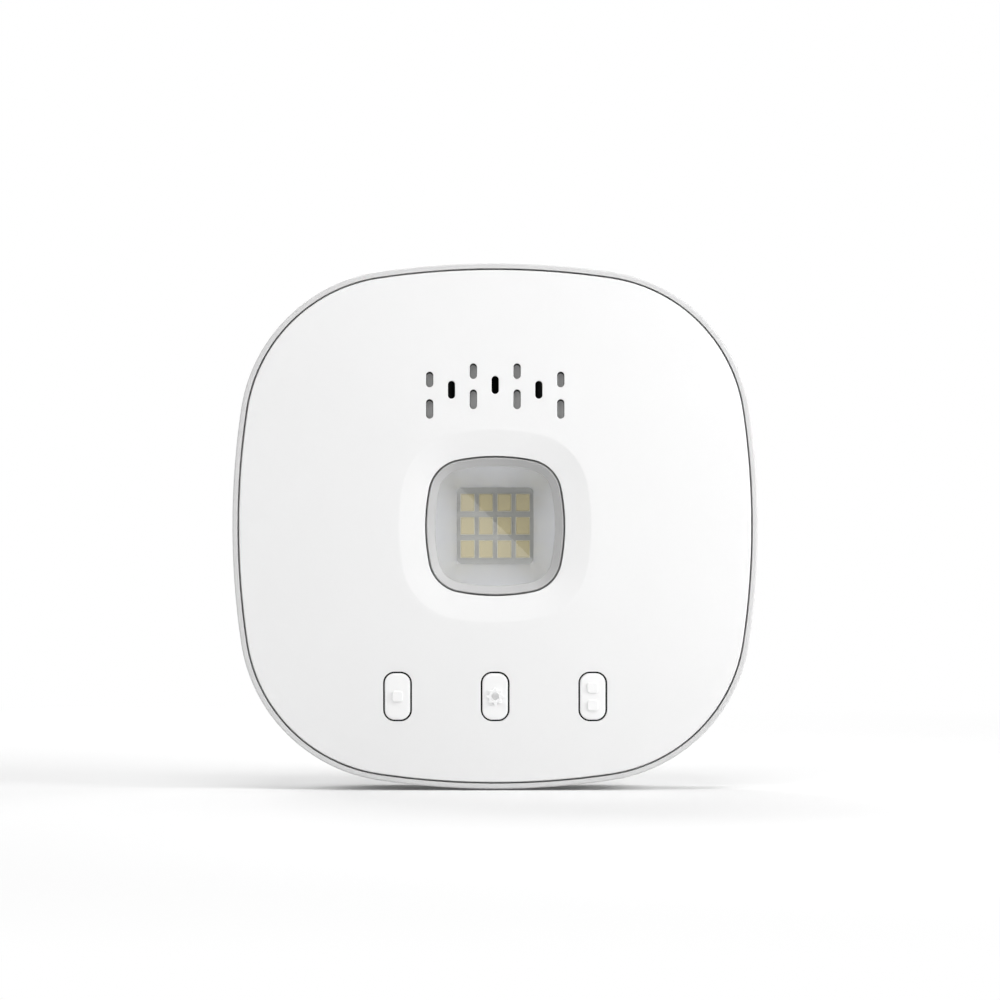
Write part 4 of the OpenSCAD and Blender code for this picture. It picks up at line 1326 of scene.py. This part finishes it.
# Icons stand a hair lower than the CAD's, because the cap's crown is round here
ICON_SINK = {Icon.SQUARE: 0.02, Icon.GEAR: 0.05, Icon.PAIR: 0.09}


@dataclass
class PushButton:
    """Button with its crowned face, raised icon, flange and stem."""

    side: str
    centre: Point
    icon: Icon
    body: Body = BODY
    edge_r: float = 0.4
    rim: float = 1.25
    flange_top: float = 29.5035
    flange_z: float = 28.5035
    foot_z: float = 22.6035
    stem_r: float = 1.6
    icon_h: float = 0.5
    icon_size: Triple = (2.6, 2.6, 0.7)
    icon_pitch: float = 4.15
    gear_teeth: int = 8
    gear_r: Triple = (2.05, 1.45, 0.9)
    gear_w: Point = (1.0, 0.4)
    pillow_r: float = 0.22
    gear_pillow_r: float = 0.08
    pit_depth: float = 0.7
    ease: float = 0.05
    shade_band_h: float = 1.2

    def gear(self) -> Traced:
        """Returns the gear's outline, with tapered teeth."""
        (tip, root, _), (wide, narrow) = self.gear_r, (w / 2 for w in self.gear_w)
        tooth = ((root, -wide, 0.2), (tip, -narrow, 0.12), (tip, narrow, 0.12), (root, wide, 0.2))
        corners: list[Triple] = []
        for k in range(self.gear_teeth):
            a = 2 * math.pi * k / self.gear_teeth
            cos, sin = math.cos(a), math.sin(a)
            corners += [(r * cos - side * sin, r * sin + side * cos, soft) for r, side, soft in tooth]
        line = soften(corners, 3, closed=True)
        return Traced(tuple((x + self.centre[0], y + self.centre[1]) for x, y in line))

    def marks(self) -> list[Outline]:
        """Returns the outlines of the raised marks."""
        x, y = self.centre
        if self.icon is Icon.GEAR:
            return [self.gear()]
        offsets = (0.0,) if self.icon is Icon.SQUARE else (-self.icon_pitch / 2, self.icon_pitch / 2)
        return [RoundRect(*self.icon_size, (x, y + d), 8, 2, 2) for d in offsets]

    def build(self) -> Piece:
        """Builds the button and returns it."""
        skin, crown, r, pit = Skin(), self.body.crown(), self.edge_r, -self.pit_depth
        head, stem = RoundRect(*self.body.button_size, self.centre), Circle(self.stem_r, self.centre, 32)
        foot = skin.walk(stem, [(-0.2, self.foot_z)])
        skin.cap(foot, up=False)
        top = skin.walk(stem, [(0, self.foot_z + 0.2), (0, self.flange_z)], foot)
        flange = skin.walk(head, [(self.rim, self.flange_z)])
        skin.sheet(flange, [top], up=False)
        low = skin.walk(head, [(self.rim, self.flange_top)], flange)
        # The flange's top and the foot of the cap's sides are black, which is painted shade in the gap round the cap
        skin.coat(1)
        low = skin.walk(head, [(-self.ease, self.flange_top), (-self.ease, self.flange_top + self.shade_band_h)], low)
        skin.coat(0)
        roll = soften([(0, -2 * r, 0), (0, 0, r), (-2 * r, 0, 0)], 6)
        rim = skin.walk(head.grown(-self.ease), roll, low, crown.height)
        holes, geared, lift = [], self.icon is Icon.GEAR, self.icon_h - ICON_SINK[self.icon]
        pillow = self.gear_pillow_r if geared else self.pillow_r
        edge = soften([(0.1, 0, 0), (0, 0, 0.05), (0, lift, pillow), (-pillow - 0.01, lift, 0)], 6)
        for mark in self.marks():
            end = skin.walk(mark, [(0.15, 0.0), *edge], over=crown.height)
            holes.append(skin.first)
            if geared:
                wall = soften([(0.14, lift, 0), (0, lift, 0.08), (0, pit, 0.15), (-0.2, pit, 0)], 3)
                floor = skin.walk(Circle(self.gear_r[2], self.centre, 40), wall, over=crown.height)
                skin.sheet(end, [skin.first], up=True)
                skin.sheet(floor, [], up=True, spacing=0.4, height=crown.lowered(-pit).height)
            else:
                skin.sheet(end, [], up=True, spacing=0.5, height=crown.lowered(-lift).height)
        skin.sheet(rim, holes, up=True, spacing=0.6, height=crown.height)
        cap = BUTTON_ABS.dress(even_shading(skin.solid(f"button_cap_{self.side}")))
        # The black foam here is painted shade in the gap round the cap
        cap.data.materials.append(BLACK_FOAM_AND_SHADE.material())
        return attach(cap, f"button_{self.side}", "button_white", f"button_{self.side}")


@dataclass
class WallBracket:
    """Plate that is screwed to the wall: foot, rails, countersunk holes and springy latch."""

    foot_w: float = 42.4
    rail_w: float = 50.0
    height: float = 66.0
    rise: float = 3.0
    foot_t: float = 3.1
    thick: float = 5.2
    corner: float = 3.0
    screw: Point = (15.0, 7.0)
    screw_r: float = 2.25
    latch_half: float = 4.0
    latch_l: float = 20.0
    bump_size: Triple = (5.6, 3.0, 0.3)
    bump_h: float = 0.7
    slit: float = 1.2
    soft: float = 0.3

    def plate(self) -> Piece:
        """Builds the foot and rails in one, and the latch's bump on them."""
        s, t, bottom = self.soft, self.thick, self.rise - self.height / 2
        rail = RoundRect(self.rail_w, self.height, self.corner, (0, self.rise))
        # A hair shorter than the rails, so that no face between them has zero area
        foot = replace(rail, width=self.foot_w, height=self.height - 0.04)
        low = soften([(-2 * s, 0, 0), (0, 0, s), (0, self.foot_t, 0)], 4)
        high = soften([(0, self.foot_t, 0), (0, t, s), (-2 * s, t, 0)], 4)
        plate = block("wall_plate", (foot, low), (rail, high))
        peak = t + self.bump_h
        sides = [(0, t - 1), *soften([(0, t, 0), (0, peak, 0.35), (-0.8, peak, 0)], 4)]
        carve(plate, block("latch_bump", (RoundRect(*self.bump_size, (0, bottom + 3.0), 6, 1, 1), sides)), "UNION")
        return plate

    def tools(self) -> list[Piece]:
        """Builds the shapes of the two holes, of the slits beside the latch and of the gap that lets it bend."""
        t, (x, y), bottom = self.thick, self.screw, self.rise - self.height / 2
        sink = [(0.5, -1), *soften([(0.5, 0, 0), (0, 0.45, 0.3), (0, t - 2, 0.2), (2, t, 0), (2, t + 1, 0)], 3)]
        made = [block("hole_tool", (Circle(self.screw_r, (side * x, y), 40), sink)) for side in (-1, 1)]
        high, low, aside = bottom + self.latch_l, bottom - 5, self.latch_half + self.slit / 2
        bars = [(self.slit, -aside, t + 1), (self.slit, aside, t + 1)]
        for width, x, depth in [*bars, (2 * (self.latch_half + self.slit), 0, self.foot_t / 2)]:
            outline = RoundRect(width, high - low, 0.5, (x, (high + low) / 2), 6, 1, 1)
            made.append(block("latch_tool", (outline, [(0, -1.0), (0, depth)])))
        return made

    def build(self) -> Piece:
        """Builds the bracket and returns it."""
        plate = self.plate()
        for tool in self.tools():
            carve(plate, tool)
        BRACKET_ABS.dress(even_shading(plate, 32.0))
        return attach(plate, "wall_bracket", "bracket_white", "wall_bracket")


# A pan head's profile, as shares of its radius and of its height
PAN_HEAD = ((0.45, 1.0), (0.62, 0.96), (0.78, 0.86), (0.92, 0.66), (1.0, 0.4), (1.0, 0.05), (0.97, 0.0))


@dataclass
class ScrewSet:
    """Four pan-head screws on a grid, with cross recesses in their heads."""

    name: str
    node: str
    pitch: Point
    z: float
    shank_r: float
    head_r: float
    head_h: float
    length: float
    heads_out: bool

    def screw(self) -> Piece:
        """Builds one screw, with a cross recess whose bars narrow at the bottom."""
        r, h, neck = self.head_r, self.head_h, self.shank_r - self.head_r
        line = [(-r * (1 - s), -h * z) for s, z in PAN_HEAD]
        line += [(neck, 0.0), (neck, self.length - self.shank_r), (neck - 0.5 * self.shank_r, self.length)]
        screw = block("screw", (Circle(r, steps=32), line), stand=Stand.FLOOR)
        bars = [(0.15, -h - 0.5), (0, -h * 0.9), (-0.12, -h * 0.45)]
        for size in ((r * 0.28, r * 1.05), (r * 1.05, r * 0.28)):
            carve(screw, block("cross_tool", (RoundRect(*size, 0.1, (0, 0), 3, 1, 1), bars), stand=Stand.FLOOR))
        even_shading(screw, 40.0)
        if not self.heads_out:
            screw.data.transform(Matrix.Rotation(math.pi, 4, "X"))
        return baked(screw)

    def build(self) -> Piece:
        """Sets the four screws out and returns them as one piece."""
        grid = GridOf(self.name, self.screw(), (2, 2), self.pitch, self.z, ZINC_STEEL)
        return attach(grid.build(), "hub", "zinc_steel", self.node)


@dataclass
class PowerInlet:
    """Drawn steel shell of the low-voltage inlet, open downwards."""

    size: Triple = (7.8, 3.0, 1.2)
    wall: float = 0.3
    mouth_z: float = -57.0
    depth: float = 5.6
    board_z: float = 16.4035

    def build(self) -> Piece:
        """Builds the shell and returns it."""
        t, low, high = -self.wall, self.mouth_z, self.mouth_z + self.depth
        outline = RoundRect(*self.size, (0, -(self.board_z - self.size[1] / 2)), 10, 2, 2)
        line = [(t - 0.4, high + t), (t, high + t - 0.2), (t, low + 0.15), (t + 0.1, low)]
        line += [(-0.1, low), (0, low + 0.1), (0, high - 0.2), (-0.2, high)]
        shell = even_shading(block("inlet_shell", (outline, line), stand=Stand.FLOOR), 50.0)
        return attach(TINNED_STEEL.dress(shell), "hub", "tinned_steel", "power_inlet_shell")


# CAD nodes that keep their own shape, and what they are made of
KEPT_NODES: dict[str, Finish] = {
    "led_board": GREY_BOARD,
    "heat_spreader": BARE_ALUMINIUM,
    "led_board_screws": ZINC_STEEL,
    "sounder_frame": BLACK_NYLON,
    "sounder_cone": BLACK_PAPER,
    "sounder_magnet": ZINC_STEEL,
    "sounder_gasket": BLACK_FOAM_AND_SHADE,
    "sounder_wire_red": RED_VINYL,
    "sounder_wire_black": BLACK_VINYL,
    "sounder_plug": WHITE_NYLON,
    "sounder_socket": WHITE_NYLON,
    "main_board": GREEN_BOARD,
    "wifi_board": BLUE_BOARD,
    "wifi_shield": TINNED_STEEL,
    "antenna_coil": COPPER_WIRE,
    "processor": CHIP_EPOXY,
    "memory_chip": CHIP_EPOXY,
    "driver_chips": CHIP_EPOXY,
    "crystal": TINNED_STEEL,
    "inductor": FERRITE,
    "capacitors": CAN_ALUMINIUM,
    "small_parts": CERAMIC,
    "power_inlet_tongue": BLACK_NYLON,
    "switch_bodies": BLACK_NYLON,
    "switch_plunger_left": IVORY_NYLON,
    "switch_plunger_middle": IVORY_NYLON,
    "switch_plunger_right": IVORY_NYLON,
    "board_link": BLACK_NYLON,
}


# Studio


@dataclass(frozen=True)
class Lamp:
    """Soft square lamp that faces the hub.

    Attributes:
        name: Name of the lamp.
        place: Its middle, in metres.
        size: Its side, in metres.
        watts: Power.
    """

    name: str
    place: Triple
    size: float
    watts: float
    target: Triple = (0.0, -0.02, 0.0)

    def build(self) -> None:
        """Hangs the lamp."""
        data = bpy.data.lights.new(self.name, "AREA")
        data.size, data.energy = self.size, self.watts
        lamp = placed(self.name, data)
        lamp.location = self.place
        lamp.rotation_euler = (Vector(self.target) - Vector(self.place)).to_track_quat("-Z", "Y").to_euler()
        lamp.visible_camera = False


@dataclass
class Studio:
    """Pale floor, white surround, soft lamps, a card that the window mirrors, and the camera, in metres."""

    floor_z: float = -0.06286
    floor_half: float = 3.0
    floor_fade: Point = (0.22, 0.5)
    floor_lift: float = 0.08
    paper: str = "#E4E4E4"
    white: str = "#FFFFFF"
    ambient: float = 0.15
    frame_w: float = 0.23786
    sensor_mm: float = 36.0
    distance: float = 1.25
    front_y: float = -0.0305
    centre: Point = (0.00116, 0.00619)
    card_y: float = -1.31
    card_glow: float = 2.5
    # Half side of the card's mirror image in the window and where its corner is cut off, in millimetres
    card_half: float = 9.05
    card_crease: float = 0.95
    lamps: tuple[Lamp, ...] = (
        Lamp("right", (0.488, -0.282, 0.205), 0.3, 2.29),
        Lamp("left", (-0.579, -0.579, 0.574), 0.5, 2.11),
        Lamp("top", (0.0, -0.469, 0.883), 0.5, 3.32),
        Lamp("back", (0.0, 0.707, 0.707), 0.5, 2.31),
        Lamp("back left", (-0.41, 0.71, 0.574), 0.5, 4.47),
        Lamp("back right", (0.77, 0.28, 0.574), 0.5, 1.61),
    )

    def camera(self) -> None:
        """Sets up the camera, straight in front."""
        data = bpy.data.cameras.new("camera")
        data.sensor_width = self.sensor_mm
        data.lens = data.sensor_width * self.distance / self.frame_w
        data.clip_start, data.clip_end = 0.05, 20.0
        camera = placed("camera", data)
        camera.location = (self.centre[0], self.front_y - self.distance, self.centre[1])
        camera.rotation_euler = (QUARTER, 0.0, 0.0)
        bpy.context.scene.camera = camera

    def surround(self) -> None:
        """Lights the world, which looks white to the camera, in mirrors and through glass."""
        world = bpy.data.worlds.new("studio")
        bpy.context.scene.world = world
        tree, white = emptied(world), srgb(self.white)
        path = add_node(tree, "ShaderNodeLightPath").outputs
        seen = path["Is Camera Ray"]
        for other in ("Is Glossy Ray", "Is Transmission Ray"):
            seen = add_node(tree, "ShaderNodeMath", {0: seen, 1: path[other]}, operation="MAXIMUM").outputs[0]
        mixed = {0: seen}
        for number, strength in ((1, self.ambient), (2, 1.0)):
            lit = add_node(tree, "ShaderNodeBackground", {"Color": white, "Strength": strength})
            mixed[number] = lit.outputs[0]
        both = add_node(tree, "ShaderNodeMixShader", mixed).outputs[0]
        add_node(tree, "ShaderNodeOutputWorld", {"Surface": both})

    def backdrop(self, name: str, points: Sequence[Triple], finish: str) -> tuple[Piece, Tree]:
        """Makes a flat piece of the studio.

        Args:
            name: Name of the piece.
            points: Its corners, in metres.
            finish: Name of its material.

        Returns:
            The piece and its material's empty tree.
        """
        mesh = bpy.data.meshes.new(name)
        mesh.from_pydata(points, [], [range(len(points))])
        mesh.materials.append(bpy.data.materials.new(finish))
        piece = placed(name, mesh)
        return piece, emptied(mesh.materials[0])

    def floor(self) -> None:
        """Lays the floor, which fades to plain white away from the hub."""
        half = self.floor_half
        corners = [(x * half, y * half, self.floor_z) for x, y in ((-1, -1), (1, -1), (1, 1), (-1, 1))]
        _, tree = self.backdrop("floor", corners, "white paper sweep")
        place = add_node(tree, "ShaderNodeTexCoord").outputs["Object"]
        away = add_node(tree, "ShaderNodeVectorMath", {0: place}, operation="LENGTH").outputs["Value"]
        inputs = {"Value": away, "From Min": self.floor_fade[0], "From Max": self.floor_fade[1]}
        far = add_node(tree, "ShaderNodeMapRange", inputs, interpolation_type="SMOOTHSTEP").outputs["Result"]
        path = add_node(tree, "ShaderNodeLightPath").outputs
        inputs = {0: path["Is Camera Ray"], 1: path["Is Glossy Ray"]}
        seen = add_node(tree, "ShaderNodeMath", inputs, operation="MAXIMUM").outputs[0]
        lift = add_node(tree, "ShaderNodeMath", {0: seen, 1: self.floor_lift}, operation="MULTIPLY").outputs[0]
        bare = add_node(tree, "ShaderNodeMath", {0: far, 1: seen}, operation="MULTIPLY").outputs[0]
        paper = add_node(tree, "ShaderNodeBsdfDiffuse", {"Color": srgb(self.paper)}).outputs[0]
        white = srgb(self.white)
        shine = add_node(tree, "ShaderNodeEmission", {"Color": white, "Strength": lift}).outputs[0]
        near = add_node(tree, "ShaderNodeAddShader", {0: paper, 1: shine}).outputs[0]
        plain = add_node(tree, "ShaderNodeEmission", {"Color": white, "Strength": 1.0}).outputs[0]
        both = add_node(tree, "ShaderNodeMixShader", {0: bare, 1: near, 2: plain}).outputs[0]
        add_node(tree, "ShaderNodeOutputMaterial", {"Surface": both})

    def card(self) -> None:
        """Hangs a pale card behind the camera, which the window mirrors in half of the LED opening."""
        half, crease, (x, z) = self.card_half, self.card_crease, self.centre
        seen = [(-half, -half), (half, -half), (half, crease - half), (crease - half, half), (-half, half)]
        pane_y, eye_y = -(BODY.window_z + LightUnit.window_t) * MM, self.front_y - self.distance
        # The card stands where the mirrored line of sight through each point of the window meets it
        reach = (2 * pane_y - eye_y - self.card_y) / (pane_y - eye_y)
        points = [(x + (u * MM - x) * reach, self.card_y, z + (v * MM - z) * reach) for u, v in seen]
        card, tree = self.backdrop("card", points, "pale studio card")
        card.visible_camera = card.visible_diffuse = card.visible_shadow = False
        glow = add_node(tree, "ShaderNodeEmission", {"Color": srgb(self.white), "Strength": self.card_glow})
        add_node(tree, "ShaderNodeOutputMaterial", {"Surface": glow.outputs[0]})

    def build(self) -> None:
        """Sets the whole studio up."""
        self.camera()
        self.surround()
        self.floor()
        self.card()
        for lamp in self.lamps:
            lamp.build()
        bpy.context.scene.view_settings.view_transform = "Standard"


def main() -> None:
    """Builds the hub and its studio."""
    logging.basicConfig(level=logging.INFO, format="%(name)s: %(message)s")
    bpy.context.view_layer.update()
    Studio().build()
    for node, finish in KEPT_NODES.items():
        finish.dress(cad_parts[node])
    FrontCover().build()
    RearHousing().build()
    LightUnit().build()
    for side, place, icon in zip(("left", "middle", "right"), BODY.button_places(), Icon):
        PushButton(side, place, icon).build()
    WallBracket().build()
    case = {"pitch": (2 * BODY.boss, 2 * BODY.boss), "z": 6.0, "heads_out": True}
    ScrewSet("case_screw_set", "case_screws", shank_r=1.45, head_r=2.8, head_h=2.1, length=21.3, **case).build()
    board = {"pitch": (88.0, 40.0), "z": 18.0035, "heads_out": False}
    ScrewSet("board_screw_set", "board_screws", shank_r=1.2, head_r=2.4, head_h=1.4, length=7.6, **board).build()
    PowerInlet().build()


if __name__ == "__main__":
    main()
